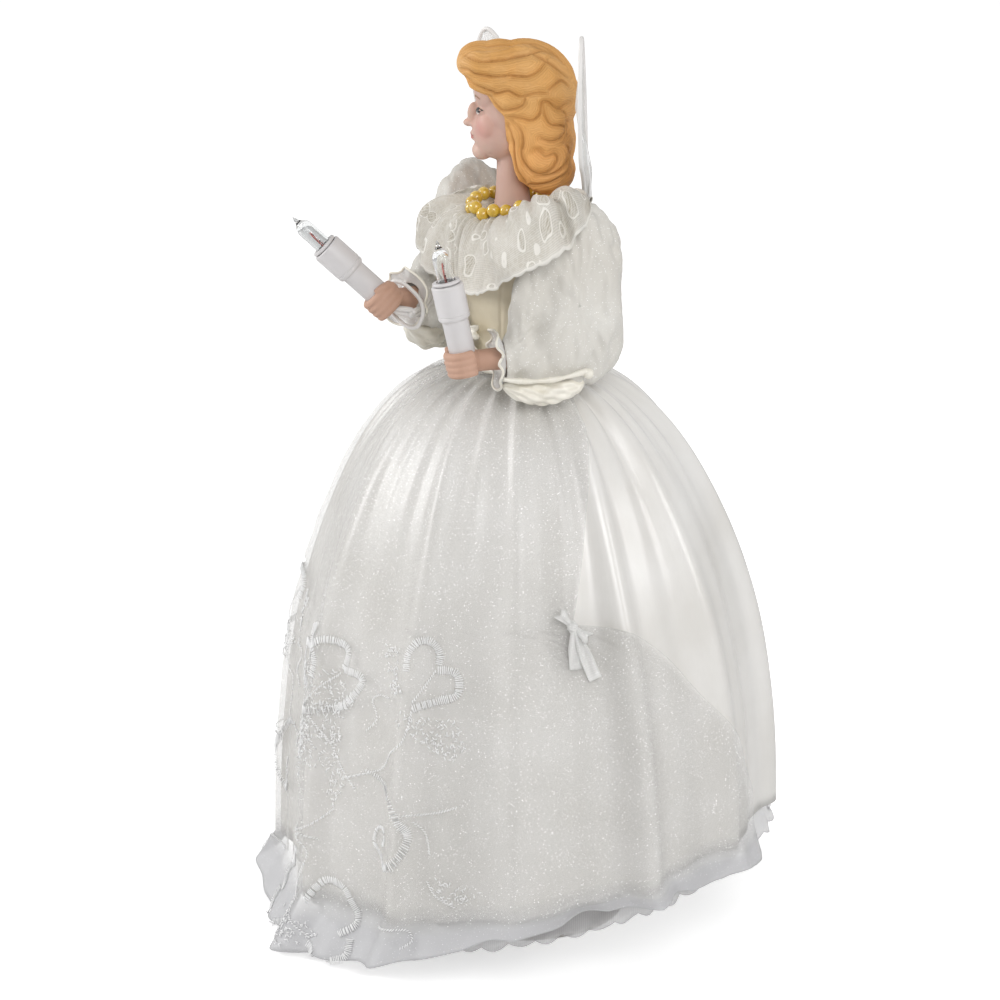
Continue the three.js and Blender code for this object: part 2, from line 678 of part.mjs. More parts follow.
// The overskirt's left edge: it runs down to the swag knot, then springs open to the hem
function panelEdge(latitude) {
  if (latitude <= KNOT_LATITUDE) {
    return THREE.MathUtils.lerp(PANEL_WAIST_ANGLE, PANEL_KNOT_ANGLE, latitude / KNOT_LATITUDE);
  }
  const below = (latitude - KNOT_LATITUDE) / (Math.PI / 2 - KNOT_LATITUDE);
  return THREE.MathUtils.lerp(PANEL_KNOT_ANGLE, PANEL_HEM_ANGLE, below ** 0.5);
}

// The sector behind both edges, which the overskirt leaves open
function openBack() {
  const arc = 8;
  const far = 2 * SKIRT_RADIUS;
  const ring = (latitude, z) => {
    const edge = panelEdge(latitude);
    const points = [at(0, 0, z)];
    for (let j = 0; j <= arc; j++) {
      const angle = THREE.MathUtils.lerp(edge, Math.PI - edge, j / arc);
      points.push(at(far * Math.cos(angle), far * Math.sin(angle), z));
    }
    return points;
  };
  const below = Array.from({ length: 9 }, (_, i) => {
    return THREE.MathUtils.lerp(KNOT_LATITUDE, Math.PI / 2, (i / 9) ** 2);
  });
  const latitudes = [0, KNOT_LATITUDE / 2, ...below];
  const rings = latitudes.map((latitude) => ring(latitude, bellPoint(0, latitude, 0, 0).z));
  return loft([ring(0, SHOULDER_Z), ...rings, ring(Math.PI / 2, hem(0)), ring(Math.PI / 2, -HEM_BACK)]);
}

// Its folds and rows are the satin's
function overskirt() {
  const rows = (cloth) => {
    const stand = (latitude) => OVERSKIRT_SEAM + OVERSKIRT_STAND * Math.sin(latitude) + cloth;
    const rings = LATITUDES.map((latitude) => bellRing(latitude, stand(latitude), 1, SKIRT_COLUMNS));
    const edge = rings.at(-1).map((p) => {
      const ahead = Math.max(0, -p.y / Math.hypot(p.x, p.y)) ** 2;
      const reach = 1 + (OVERSKIRT_FLARE * (0.35 + 0.65 * ahead)) / Math.hypot(p.x, p.y);
      const z = THREE.MathUtils.lerp(OVERSKIRT_HEM_SIDE, OVERSKIRT_HEM_FRONT, ahead);
      return at(p.x * reach, p.y * reach, z);
    });
    return [...rings, edge];
  };
  return shape(cut(solid(shell(rows(OVERSKIRT_CLOTH), rows(0))), openBack()));
}

// A ribbon bow at each swag: a knot, two loops and two tails, tilted off the cloth
function swagTie(side) {
  const angle = side > 0 ? PANEL_KNOT_ANGLE : Math.PI - PANEL_KNOT_ANGLE;
  const offset = OVERSKIRT_SEAM + OVERSKIRT_STAND + OVERSKIRT_CLOTH + 2 * FIT;
  const seat = bellPoint(angle, KNOT_LATITUDE, offset);
  const above = bellPoint(angle, KNOT_LATITUDE - 0.05, offset);
  const around = bellPoint(angle + 0.05, KNOT_LATITUDE, offset);
  const up = above.sub(seat).normalize();
  const out = around.sub(seat).cross(up).normalize();
  const parts = [ball(KNOT_RADIUS, KNOT_RADIUS, KNOT_RADIUS * 0.8, 0, 0, 0, 8, 5)];
  const half = SWAG_LOOP_LENGTH / 2;
  for (const turn of [-1, 1]) {
    const loop = ball(half, RIBBON_WIDTH / 2, RIBBON_THICKNESS * 1.4, half, 0, 0, 8, 5);
    parts.push(loop.rotateY(-RIBBON_LIFT).rotateZ(turn > 0 ? -RIBBON_SPREAD : Math.PI + 2 * RIBBON_SPREAD));
    const tail = block(SWAG_TAIL_LENGTH, RIBBON_WIDTH * 0.7, RIBBON_THICKNESS, SWAG_TAIL_LENGTH / 2, 0, 0);
    parts.push(tail.rotateY(-RIBBON_LIFT).rotateZ(-Math.PI / 2 + turn * RIBBON_SPREAD));
  }
  const frame = new THREE.Matrix4().makeBasis(up.clone().cross(out), up, out);
  frame.setPosition(seat.addScaledVector(out, KNOT_RADIUS * 0.8));
  return shape(join(...parts)).applyMatrix4(frame);
}

// Wing bracket: a plate on the bodice's back with two pins between lugs
const BRACKET_FOOT_Z = SHOULDER_Z - BRACKET_DROP;
const BRACKET_Y = BODICE_HALF_DEPTH + FIT;
const PIN_Y = BRACKET_Y + BRACKET_THICKNESS + PIN_BACK;

function wingBracket() {
  const middle = BRACKET_FOOT_Z + BRACKET_HEIGHT / 2;
  const plateY = BRACKET_Y + BRACKET_THICKNESS / 2;
  const parts = [block(2 * BRACKET_HALF_WIDTH, BRACKET_THICKNESS, BRACKET_HEIGHT, 0, plateY, middle)];
  const lugDepth = PIN_BACK + PIN_RADIUS + LUG_EDGE;
  const lugY = BRACKET_Y + BRACKET_THICKNESS + lugDepth / 2 - LUG_EDGE / 4;
  const head = BRACKET_FOOT_Z + BRACKET_HEIGHT;
  for (const side of [-1, 1]) {
    const x = side * PIN_HALF_SPACING;
    parts.push(rod(at(x, PIN_Y, BRACKET_FOOT_Z), at(x, PIN_Y, head), PIN_RADIUS));
    for (const z of [BRACKET_FOOT_Z + LUG_THICKNESS / 2, head - LUG_THICKNESS / 2]) {
      parts.push(block(2 * PIN_RADIUS + LUG_EDGE, lugDepth, LUG_THICKNESS, x, lugY, z));
    }
  }
  return shape(join(...parts));
}

// A wing lies in its own XZ plane, root at x = 0 on the pin, and is turned about the pin
function wingOutline(rise) {
  const root = PIN_RADIUS + FIT + BARREL_WALL / 2;
  const foot = BRACKET_FOOT_Z + LUG_THICKNESS + 3;
  const head = BRACKET_FOOT_Z + BRACKET_HEIGHT - LUG_THICKNESS - 2.5;
  const spot = (x, z) => at(x * WING_SPAN, 0, SHOULDER_Z + z * rise);
  return [
    at(root, 0, foot),
    spot(0.25, -0.07),
    spot(0.42, 0.19),
    spot(0.63, 0.325),
    spot(0.87, 0.42),
    spot(1, 0.62),
    spot(1, 0.825),
    spot(0.895, 1),
    spot(0.71, 0.91),
    spot(0.42, 0.585),
    spot(0.2, 0.19),
    at(root, 0, head),
  ];
}

function wingFrame(rise) {
  const low = BRACKET_FOOT_Z + LUG_THICKNESS + FIT;
  const high = BRACKET_FOOT_Z + BRACKET_HEIGHT - LUG_THICKNESS - FIT;
  const barrelRadius = PIN_RADIUS + FIT + BARREL_WALL;
  const barrel = cut(
    solid(rod(at(0, 0, low), at(0, 0, high), barrelRadius)),
    rod(at(0, 0, low - 1), at(0, 0, high + 1), PIN_RADIUS + FIT),
  );
  const wire = cut(
    solid(tube(wingOutline(rise), WING_WIRE_RADIUS, 32, 5)),
    rod(at(0, 0, low - 5), at(0, 0, high + 5), PIN_RADIUS + FIT),
  );
  return shape(barrel.add(wire));
}

function wingPanel(rise) {
  const rim = new THREE.CatmullRomCurve3(wingOutline(rise)).getPoints(32);
  const edge = rim.map((p) => new THREE.Vector2(p.x, p.z));
  const inset = WING_WIRE_RADIUS + 2 * FIT;
  const start = PIN_RADIUS + FIT + BARREL_WALL + FIT;
  const inner = edge.map((p, i) => {
    const next = edge[Math.min(i + 1, edge.length - 1)];
    const along = next.clone().sub(edge[Math.max(i - 1, 0)]).normalize();
    return new THREE.Vector2(p.x - along.y * inset, p.y + along.x * inset);
  });
  const outline = new THREE.Shape(inner.filter((p) => p.x > start));
  const panel = new THREE.ExtrudeGeometry(outline, { depth: WING_CLOTH, bevelEnabled: false });
  return panel.translate(0, 0, -WING_CLOTH / 2).rotateX(Math.PI / 2);
}

function wing(name, { side, sweep, rise }) {
  const group = new THREE.Group();
  group.position.set(side * PIN_HALF_SPACING, PIN_Y, 0);
  group.rotation.z = -side * sweep;
  const frame = wingFrame(rise);
  const panel = wingPanel(rise);
  if (side < 0) {
    frame.rotateZ(Math.PI);
    panel.rotateZ(Math.PI);
  }
  group.add(piece(`${name}_wing_frame`, frame, PAINT.wire));
  group.add(piece(`${name}_wing_panel`, panel, PAINT.organza));
  return group;
}

// Arms. All points are from the shoulder pivot, with the outward axis mirrored for the right arm.
function arm(name, plan) {
  const { side } = plan;
  const innerX = side * (ARM_INNER_X - SHOULDER_HALF_WIDTH);
  const from = ([x, y, z]) => at(innerX + side * x, y, z);
  const elbow = from(plan.elbow);
  const hand = from(plan.hand);
  const reach = hand.clone().sub(elbow).normalize();
  const wrist = hand.clone().addScaledVector(reach, -FIST_HALF_LENGTH - CUFF_LENGTH - 2);
  const lampAxis = at(side * plan.lamp[0], plan.lamp[1], plan.lamp[2]).normalize();
  const group = new THREE.Group();
  group.position.set(side * SHOULDER_HALF_WIDTH, SHOULDER_BACK, SHOULDER_Z);

  // Stuffed upper arm, with a hole for the wire that it turns on
  const armPath = [
    at(innerX, 0, 0),
    at(innerX * 0.4, 0, 0),
    at(0, 1, -8),
    elbow.clone().add(at(0, 0, 4)),
    elbow.clone().addScaledVector(reach, 2),
  ];
  const upperArm = (grow) => tube(armPath, UPPER_ARM_RADIUS + grow, 7, 8);
  const wireEnd = innerX + side * (SHOULDER_WIRE_REACH + FIT);
  const wireHole = rod(at(innerX * 2, 0, 0), at(wireEnd, 0, 0), SHOULDER_WIRE_RADIUS + FIT, 10);
  group.add(piece(`${name}_upper_arm`, shape(cut(solid(upperArm(0)), wireHole)), PAINT.stuffing));

  // Bisque forearm and fist, bored for the lamp's socket
  const elbowEnd = elbow.clone().addScaledVector(reach, 2 + FIT);
  const frame = new THREE.Matrix4().lookAt(hand, elbow, at(0, 0, 1));
  const forearm = (grow) => {
    const turn = new THREE.Quaternion().setFromUnitVectors(at(0, 0, 1), reach);
    const stations = [
      [0, FOREARM_RADIUS],
      [0.5, FOREARM_RADIUS],
      [1, WRIST_RADIUS],
    ];
    const end = hand.clone().addScaledVector(reach, -FIST_HALF_LENGTH / 2);
    return loft(
      stations.map(([t, radius]) => {
        const centre = elbowEnd.clone().lerp(end, t);
        return ellipse(radius + grow, radius + grow, 0, 12).map((p) => p.applyQuaternion(turn).add(centre));
      }),
    );
  };
  const fist = ball(FIST_HALF_WIDTH, FIST_HALF_HEIGHT, FIST_HALF_LENGTH, 0, 0, 0, 10, 8);
  fist.applyMatrix4(frame).translate(hand.x, hand.y, hand.z);
  const along = (distance) => hand.clone().addScaledVector(lampAxis, distance);

  // Twin lead from the socket across the hand's inner side and up inside the sleeve to the armhole
  const leadBeside = side * -(FOREARM_RADIUS + LEAD_HALF_WIDTH + 3 * FIT);
  const sleeveSide = innerX + side * (LEAD_HALF_WIDTH + 1);
  const leadPath = [
    along(-SOCKET_BELOW_HAND - FIT),
    along(-SOCKET_BELOW_HAND - FIT - LEAD_TURN),
    along(-SOCKET_BELOW_HAND)
      .addScaledVector(reach, -FIST_HALF_LENGTH)
      .add(at(0.75 * leadBeside, 0, -LEAD_TURN)),
    wrist.clone().addScaledVector(reach, CUFF_LENGTH).add(at(leadBeside, 0, -3)),
    wrist.clone().addScaledVector(reach, -2).add(at(leadBeside, 0, -1)),
    at(sleeveSide, wrist.y * 0.55, wrist.z * 0.8),
    at(sleeveSide + side * 2, -HARNESS_FORWARD - 1, -HARNESS_DROP - 4),
    at(sleeveSide, -HARNESS_FORWARD, -HARNESS_DROP),
    at(innerX + side * FIT, -HARNESS_FORWARD, -HARNESS_DROP),
  ];
  const lead = (grow) => tube(leadPath, LEAD_HALF_WIDTH + grow, 18, 6, LEAD_HALF_THICKNESS + grow);
  group.add(piece(`${name}_lamp_lead`, lead(0), PAINT.insulation));
  const gripFoot = along(-SOCKET_BELOW_HAND - FIT);
  const grip = rod(gripFoot, along(3 * FIST_HALF_HEIGHT), SOCKET_NECK_RADIUS + 2 * FIT);
  const limb = cut(join(forearm(0), fist), grip, upperArm(FIT), lead(2 * FIT));
  group.add(piece(`${name}_forearm_hand`, shape(limb), PAINT.bisque));

  // Sleeve: a puff from the cap to the wrist, gathered round its rim, with the arm and lead passing through
  const cap = SLEEVE_CAP_RADIUS;
  const low = SLEEVE_SAG;
  const rim = new THREE.CatmullRomCurve3(
    [
      at(0, 0, cap),
      at(0, 0.87 * cap, 0.5 * cap),
      at(0, cap, -0.7 * cap),
      at(0, elbow.y + 8, elbow.z - 4),
      at(0, elbow.y - 3, elbow.z - low - 3),
      at(0, wrist.y + 1, wrist.z - low),
      at(0, wrist.y - 4, wrist.z - 1),
      at(0, wrist.y + 1, wrist.z + 7),
      at(0, -cap, -0.2 * cap),
      at(0, -0.75 * cap, 0.66 * cap),
    ],
    true,
  );
  const heart = at(0, -0.1 * cap, elbow.z / 2);
  const puff = (grow) => {
    const columns = 3 * SLEEVE_GATHERS;
    const edge = rim.getPoints(columns).slice(0, columns);
    const spot = (p, share, face) => {
      const forward = THREE.MathUtils.clamp(p.y / wrist.y, 0, 1);
      const middle = THREE.MathUtils.lerp(side, wrist.x + side, forward);
      const width = THREE.MathUtils.lerp(SLEEVE_HALF_WIDTH, SLEEVE_WRIST_HALF_WIDTH, forward) + grow;
      const wave = Math.cos((2 * Math.PI * SLEEVE_GATHERS * edge.indexOf(p)) / columns);
      const gather = 1 + GATHER_SHARE * share * wave;
      const point = heart.clone().lerp(p, share);
      const spread = p.clone().sub(heart).setLength(grow * share);
      return point.add(spread).setX(middle + face * width * Math.sqrt(1 - share ** 2.4) * gather);
    };
    const ring = (share, face) => edge.map((p) => spot(p, share, face));
    const rings = [0.4, 0.72, 0.92].map((share) => ring(share, 1));
    rings.push(ring(1, 0));
    rings.push(...[0.92, 0.72, 0.4].map((share) => ring(share, -1)));
    return loft(rings);
  };
  const gownFront = -BODICE_HALF_DEPTH - ARM_CLEARANCE - SHOULDER_BACK;
  const room = 2 * SHOULDER_HALF_WIDTH;
  const gownSide = block(2 * room, 2 * room, 4 * room, innerX - side * room, gownFront + room, 0);
  const beyond = new THREE.CylinderGeometry(room, room, room, 12);
  beyond.applyQuaternion(new THREE.Quaternion().setFromUnitVectors(at(0, 1, 0), reach));
  const pastWrist = wrist.clone().addScaledVector(reach, room / 2);
  beyond.translate(pastWrist.x, pastWrist.y, pastWrist.z);
  const elbowRoom = UPPER_ARM_RADIUS + 2 * FIT;
  const bend = ball(elbowRoom, elbowRoom, elbowRoom, elbow.x, elbow.y, elbow.z);
  const channel = [upperArm(2 * FIT), bend, forearm(FIT), lead(FIT)];
  const sleeve = cut(solid(puff(0)), gownSide, beyond, ...channel);
  group.add(piece(`${name}_sleeve`, shape(sleeve), PAINT.organza));

  // Frilled cuff in front of the sleeve's end
  const cuffTurn = new THREE.Quaternion().setFromUnitVectors(at(0, 0, 1), reach);
  const cuffRing = (radius, height, ripple) => {
    const count = 3 * CUFF_RUFFLES;
    return Array.from({ length: count }, (_, j) => {
      const angle = (2 * Math.PI * j) / count;
      const z = height + ripple * Math.cos(CUFF_RUFFLES * angle);
      return at(radius * Math.cos(angle), radius * Math.sin(angle), z).applyQuaternion(cuffTurn).add(wrist);
    });
  };
  const cuffNeck = FOREARM_RADIUS + FIT;
  const cuffRows = (lift) => [
    cuffRing(cuffNeck, FIT + lift, 0),
    cuffRing((cuffNeck + CUFF_RADIUS) / 2, FIT + lift + CUFF_LENGTH * 0.3, 0.2),
    cuffRing(CUFF_RADIUS, FIT + lift + CUFF_LENGTH * 0.6, 0.8),
  ];
  const cuff = cut(solid(shell(cuffRows(CUFF_CLOTH), cuffRows(0))), lead(FIT));
  group.add(piece(`${name}_cuff_frill`, shape(cuff), PAINT.organza));

  // Satin cuff bow under the sleeve
  const bowSpot = elbow.clone().lerp(wrist, 0.62).add(at(side * 3, 0, -low - 1));
  const lobes = [-1, 0, 1].map((turn) => {
    const lobe = ball(...CUFF_BOW_LOBE, 8, 6);
    return lobe.translate(bowSpot.x + side * Math.abs(turn), bowSpot.y + turn * CUFF_BOW_STEP, bowSpot.z);
  });
  const bow = cut(join(...lobes), puff(FIT), lead(FIT));
  group.add(piece(`${name}_cuff_bow`, shape(bow), PAINT.satin));

  if (name === 'right') {
    group.add(piece('right_lead_tie', leadTie(leadPath, wrist, reach), PAINT.insulation));
  }
  group.add(lamp(name, hand, lampAxis));
  return group;
}

// A loop of wire that holds the right lead against the wrist
function leadTie(leadPath, wrist, reach) {
  const centre = wrist.clone().addScaledVector(reach, 2 * FIT + CUFF_LENGTH + 2 * TIE_WIRE_RADIUS);
  const turn = new THREE.Quaternion().setFromUnitVectors(at(0, 0, 1), reach);
  const path = new THREE.CatmullRomCurve3(leadPath).getPoints(60);
  const past = (p) => Math.abs(p.clone().sub(centre).dot(reach));
  const crossing = path.reduce((best, p) => (past(p) < past(best) ? p : best));
  const side = crossing.clone().sub(centre).applyQuaternion(turn.clone().invert()).setZ(0);
  const reachOut = side.length() + LEAD_HALF_WIDTH + 4 * FIT + TIE_WIRE_RADIUS;
  const square = (t) => Math.sign(t) * Math.abs(t) ** 0.6;
  const back = FOREARM_RADIUS + FIT + TIE_WIRE_RADIUS;
  const middle = (reachOut - back) / 2;
  const halfLength = (reachOut + back) / 2;
  const heading = Math.atan2(side.y, side.x);
  const rings = Array.from({ length: 24 }, (_, j) => {
    const angle = (2 * Math.PI * j) / 24;
    return Array.from({ length: 6 }, (_unused, k) => {
      const round = (2 * Math.PI * k) / 6;
      const grow = TIE_WIRE_RADIUS * Math.cos(round);
      const x = middle + (halfLength + grow) * square(Math.cos(angle));
      const y = (back + grow) * square(Math.sin(angle));
      const z = TIE_WIRE_RADIUS * Math.sin(round);
      return at(x, y, z).applyAxisAngle(at(0, 0, 1), heading).applyQuaternion(turn).add(centre);
    });
  });
  const faces = [];
  rings.forEach((_, i) => band(faces, i * 6, ((i + 1) % 24) * 6, 6));
  return body(rings.flat(), faces);
}

// Lamp, along +Z of its own group with the hand at its origin
function lamp(name, hand, axis) {
  const group = new THREE.Group();
  group.position.copy(hand);
  group.quaternion.setFromUnitVectors(at(0, 0, 1), axis);
  const foot = -SOCKET_BELOW_HAND;
  const step = foot + SOCKET_NECK_LENGTH;
  const rim = step + SOCKET_HEAD_LENGTH;
  const bottom = foot + SOCKET_FLOOR + SOCKET_NECK_LENGTH * 0.6;
  const socketOutline = [
    [0, foot],
    [SOCKET_NECK_RADIUS, foot],
    [SOCKET_NECK_RADIUS, step],
    [SOCKET_RADIUS, step + (SOCKET_RADIUS - SOCKET_NECK_RADIUS)],
    [SOCKET_RADIUS, rim],
    [SOCKET_BORE, rim],
    [SOCKET_BORE, bottom],
    [0, bottom],
  ];
  group.add(piece(`${name}_lamp_socket`, turned(socketOutline, 14), PAINT.plastic));

  const baseRadius = SOCKET_BORE - BULB_SLIDE_FIT;
  const collarFoot = rim + FIT;
  const top = collarFoot + BULB_COLLAR_HEIGHT;
  const seat = top - BULB_SEAT_DEPTH;
  const seatRadius = BULB_GLASS_RADIUS + FIT;
  const baseOutline = [
    [0, bottom + FIT],
    [baseRadius * 0.8, bottom + FIT],
    [baseRadius * 0.8, seat - 1],
    [baseRadius, seat - 1],
    [baseRadius, collarFoot],
    [BULB_COLLAR_RADIUS, collarFoot],
    [BULB_COLLAR_RADIUS, top],
    [seatRadius, top],
    [seatRadius, seat],
    [0, seat],
  ];
  group.add(piece(`${name}_bulb_base`, turned(baseOutline, 12), PAINT.plastic));

  const glassFoot = seat + FIT;
  const shoulder = glassFoot + BULB_GLASS_LENGTH - BULB_TIP_LENGTH;
  const inner = BULB_GLASS_RADIUS - BULB_GLASS_WALL;
  const glassOutline = [
    [inner, glassFoot],
    [BULB_GLASS_RADIUS, glassFoot],
    [BULB_GLASS_RADIUS, shoulder - 1],
    [BULB_GLASS_RADIUS * 0.72, shoulder + 0.8],
    [BULB_GLASS_RADIUS * 0.28, shoulder + 2],
    [0, shoulder + BULB_TIP_LENGTH],
    [0, shoulder + 0.6],
    [inner * 0.72, shoulder - 0.2],
    [inner, shoulder - 1.6],
    [inner, glassFoot],
  ];
  group.add(piece(`${name}_bulb_glass`, turned(glassOutline, 12), PAINT.glass));

  const post = inner * 0.5;
  const wireRadius = 0.22;
  const bead = glassFoot + 4.5;
  const tips = shoulder - 3.5;
  const filament = join(
    rod(at(-post, 0, glassFoot), at(-post, 0, tips), wireRadius, 4),
    rod(at(post, 0, glassFoot), at(post, 0, tips), wireRadius, 4),
    ball(post + 0.4, 0.6, 0.6, 0, 0, bead, 6, 4),
    tube([at(-post, 0, tips - 0.2), at(0, 0, tips + 0.7), at(post, 0, tips - 0.2)], wireRadius, 4, 4),
  );
  group.add(piece(`${name}_bulb_filament`, shape(filament), PAINT.wire));
  return group;
}

const topper = new THREE.Group();
topper.add(piece('tree_cone', treeCone(), PAINT.card));
topper.add(piece('cord_gland', cordGland(), PAINT.plastic));
topper.add(piece('torso_core', stuffedTorso(), PAINT.stuffing));
const wireReach = ARM_INNER_X + SHOULDER_WIRE_REACH;
topper.add(piece('shoulder_wire', shoulderHole(SHOULDER_WIRE_RADIUS, wireReach), PAINT.wire));
topper.add(piece('lead_harness', leadHarness(), PAINT.insulation));
topper.add(piece('bust', bust(), PAINT.bisque));
topper.add(piece('bodice', bodice(), PAINT.satin));
topper.add(piece('waist_sash', sash(), PAINT.satin));
topper.add(piece('chest_bow', chestBow(), PAINT.satin));
topper.add(piece('lace_collar', laceCollar(), PAINT.lace));
topper.add(piece('pearl_necklace', pearlNecklace(), PAINT.pearl));
topper.add(piece('satin_skirt', satinSkirt(), PAINT.satin));
topper.add(piece('net_petticoat', petticoat(), PAINT.net));
topper.add(piece('organza_overskirt', overskirt(), PAINT.organza));
topper.add(piece('left_swag_tie', swagTie(1), PAINT.organza));
topper.add(piece('right_swag_tie', swagTie(-1), PAINT.organza));
topper.add(piece('wing_bracket', wingBracket(), PAINT.plastic));
for (const [name, plan] of Object.entries(WINGS)) {
  topper.add(wing(name, plan));
}
for (const [name, plan] of Object.entries(ARMS)) {
  topper.add(arm(name, plan));
}

export default topper;
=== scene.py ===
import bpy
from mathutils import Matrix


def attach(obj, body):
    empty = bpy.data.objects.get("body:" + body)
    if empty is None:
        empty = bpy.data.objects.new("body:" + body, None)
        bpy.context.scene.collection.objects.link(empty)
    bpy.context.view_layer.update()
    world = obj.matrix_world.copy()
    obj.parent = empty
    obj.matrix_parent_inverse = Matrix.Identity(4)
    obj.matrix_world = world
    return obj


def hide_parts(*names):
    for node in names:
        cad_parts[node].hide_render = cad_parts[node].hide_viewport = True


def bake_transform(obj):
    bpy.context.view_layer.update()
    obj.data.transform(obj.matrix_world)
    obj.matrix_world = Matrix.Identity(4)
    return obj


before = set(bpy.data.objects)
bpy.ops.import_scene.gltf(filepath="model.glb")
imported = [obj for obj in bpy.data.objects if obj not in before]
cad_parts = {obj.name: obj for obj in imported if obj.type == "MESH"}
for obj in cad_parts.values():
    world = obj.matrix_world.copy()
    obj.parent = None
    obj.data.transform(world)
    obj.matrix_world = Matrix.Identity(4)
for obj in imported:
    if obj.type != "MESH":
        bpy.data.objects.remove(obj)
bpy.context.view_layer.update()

import random
from math import cos, exp, pi, radians, sin, sqrt

import bmesh
import bpy
import numpy as np
from mathutils import Matrix, Quaternion, Vector, noise
from mathutils.bvhtree import BVHTree

mm = 0.001
dice = random.Random(7)


# Small helpers

def deselect():
    if bpy.context.object and bpy.context.object.mode != "OBJECT":
        bpy.ops.object.mode_set(mode="OBJECT")
    bpy.ops.object.select_all(action="DESELECT")


def activate(obj):
    deselect()
    obj.select_set(True)
    bpy.context.view_layer.objects.active = obj


def applyAll(obj):
    activate(obj)
    for modifier in list(obj.modifiers):
        bpy.ops.object.modifier_apply(modifier=modifier.name)


def settle(obj):  # moves an object's place into its mesh
    activate(obj)
    bpy.ops.object.transform_apply(location=True, rotation=True, scale=True)


def smooth(obj, angle=None):
    activate(obj)
    if angle is None:
        bpy.ops.object.shade_smooth()
    else:
        bpy.ops.object.shade_smooth_by_angle(angle=radians(angle))


def addObject(name, data):
    obj = bpy.data.objects.new(name, data)
    bpy.context.collection.objects.link(obj)
    return obj


def meshPiece(name, points, faces):  # points in millimetres
    mesh = bpy.data.meshes.new(name)
    mesh.from_pydata([tuple(float(x) * mm for x in p) for p in points], [], faces)
    mesh.update()
    obj = addObject(name, mesh)
    smooth(obj)
    return obj


def clothGrid(name, grid, wrap, uSize, vSize):  # rows of points, with a map in centimetres of cloth
    rows, cols = grid.shape[:2]
    faces = []
    corners = []
    for i in range(rows - 1):
        for j in range(cols if wrap else cols - 1):
            k = (j + 1) % cols
            faces.append((i * cols + j, (i + 1) * cols + j, (i + 1) * cols + k, i * cols + k))
            corners += [(j, i), (j, i + 1), (j + 1, i + 1), (j + 1, i)]
    obj = meshPiece(name, grid.reshape(-1, 3), faces)
    layer = obj.data.uv_layers.new(name="cloth")
    uv = np.array(corners, float) * (uSize / cols / 10, vSize / rows / 10)
    layer.data.foreach_set("uv", uv.ravel())
    return obj


def faceOutward(obj, closed=True):  # turns every face outward, and fills the ends if they are open
    activate(obj)
    bpy.ops.object.mode_set(mode="EDIT")
    bpy.ops.mesh.select_all(action="SELECT")
    if not closed:
        bpy.ops.mesh.fill_holes(sides=0)
    bpy.ops.mesh.normals_make_consistent(inside=False)
    bpy.ops.object.mode_set(mode="OBJECT")


def cutAway(obj, place, normal, fill):  # takes off what lies beyond a plane
    activate(obj)
    bpy.ops.object.mode_set(mode="EDIT")
    bpy.ops.mesh.select_all(action="SELECT")
    bpy.ops.mesh.bisect(
        plane_co=Vector(place) * mm, plane_no=Vector(normal), clear_outer=True, use_fill=fill
    )
    bpy.ops.object.mode_set(mode="OBJECT")


def thicken(obj, thickness, offset=-1.0):
    solid = obj.modifiers.new("thickness", "SOLIDIFY")
    solid.thickness = thickness * mm
    solid.offset = offset
    applyAll(obj)


def insideOutline(spot, outline):
    odd = False
    for (x1, y1), (x2, y2) in zip(outline, outline[1:] + outline[:1]):
        if (y1 > spot[1]) != (y2 > spot[1]) and spot[0] < (x2 - x1) * (spot[1] - y1) / (y2 - y1) + x1:
            odd = not odd
    return odd


def joinAll(name, objects):
    deselect()
    for obj in objects:
        obj.select_set(True)
    bpy.context.view_layer.objects.active = objects[0]
    if len(objects) > 1:
        bpy.ops.object.join()
    objects[0].name = name
    objects[0].data.name = name
    return objects[0]


def remesh(obj, voxel, passes):
    shell = obj.modifiers.new("voxels", "REMESH")
    shell.mode = "VOXEL"
    shell.voxel_size = voxel * mm
    ease = obj.modifiers.new("ease", "SMOOTH")
    ease.factor = 0.5
    ease.iterations = passes
    applyAll(obj)
    smooth(obj)


def egg(half, centre, turn=None, segments=32, rings=20):  # a stretched ball, in millimetres
    deselect()
    bpy.ops.mesh.primitive_uv_sphere_add(segments=segments, ring_count=rings, radius=mm)
    obj = bpy.context.object
    obj.scale = half
    if turn is not None:
        obj.rotation_mode = "QUATERNION"
        obj.rotation_quaternion = turn
    obj.location = Vector(centre) * mm
    settle(obj)
    return obj


def tubePiece(name, points, radii, sides=10, loop=False):
    path = np.array(points, float)
    count = len(path)
    radii = np.full(count, radii, float) if np.isscalar(radii) else np.array(radii, float)
    if loop:
        along = np.roll(path, -1, 0) - np.roll(path, 1, 0)
    else:
        along = np.gradient(path, axis=0)
    along = unitRows(along)
    guide = np.array((0.13, 0.21, 0.97))  # no tube starts out along this way
    verts = []
    across = np.cross(along[0], guide)
    for i in range(count):
        across = across - along[i] * across.dot(along[i])
        across /= np.linalg.norm(across)
        lift = np.cross(across, along[i])
        for k in range(sides):
            angle = 2 * pi * k / sides
            verts.append(path[i] + radii[i] * (cos(angle) * across + sin(angle) * lift))
    faces = []
    for i in range(count if loop else count - 1):
        a, b = i * sides, (i + 1) % count * sides
        for k in range(sides):
            n = (k + 1) % sides
            faces.append((a + k, a + n, b + n, b + k))
    if not loop:
        faces.append(tuple(range(sides))[::-1])
        faces.append(tuple((count - 1) * sides + k for k in range(sides)))
    obj = meshPiece(name, verts, faces)
    faceOutward(obj)
    return obj


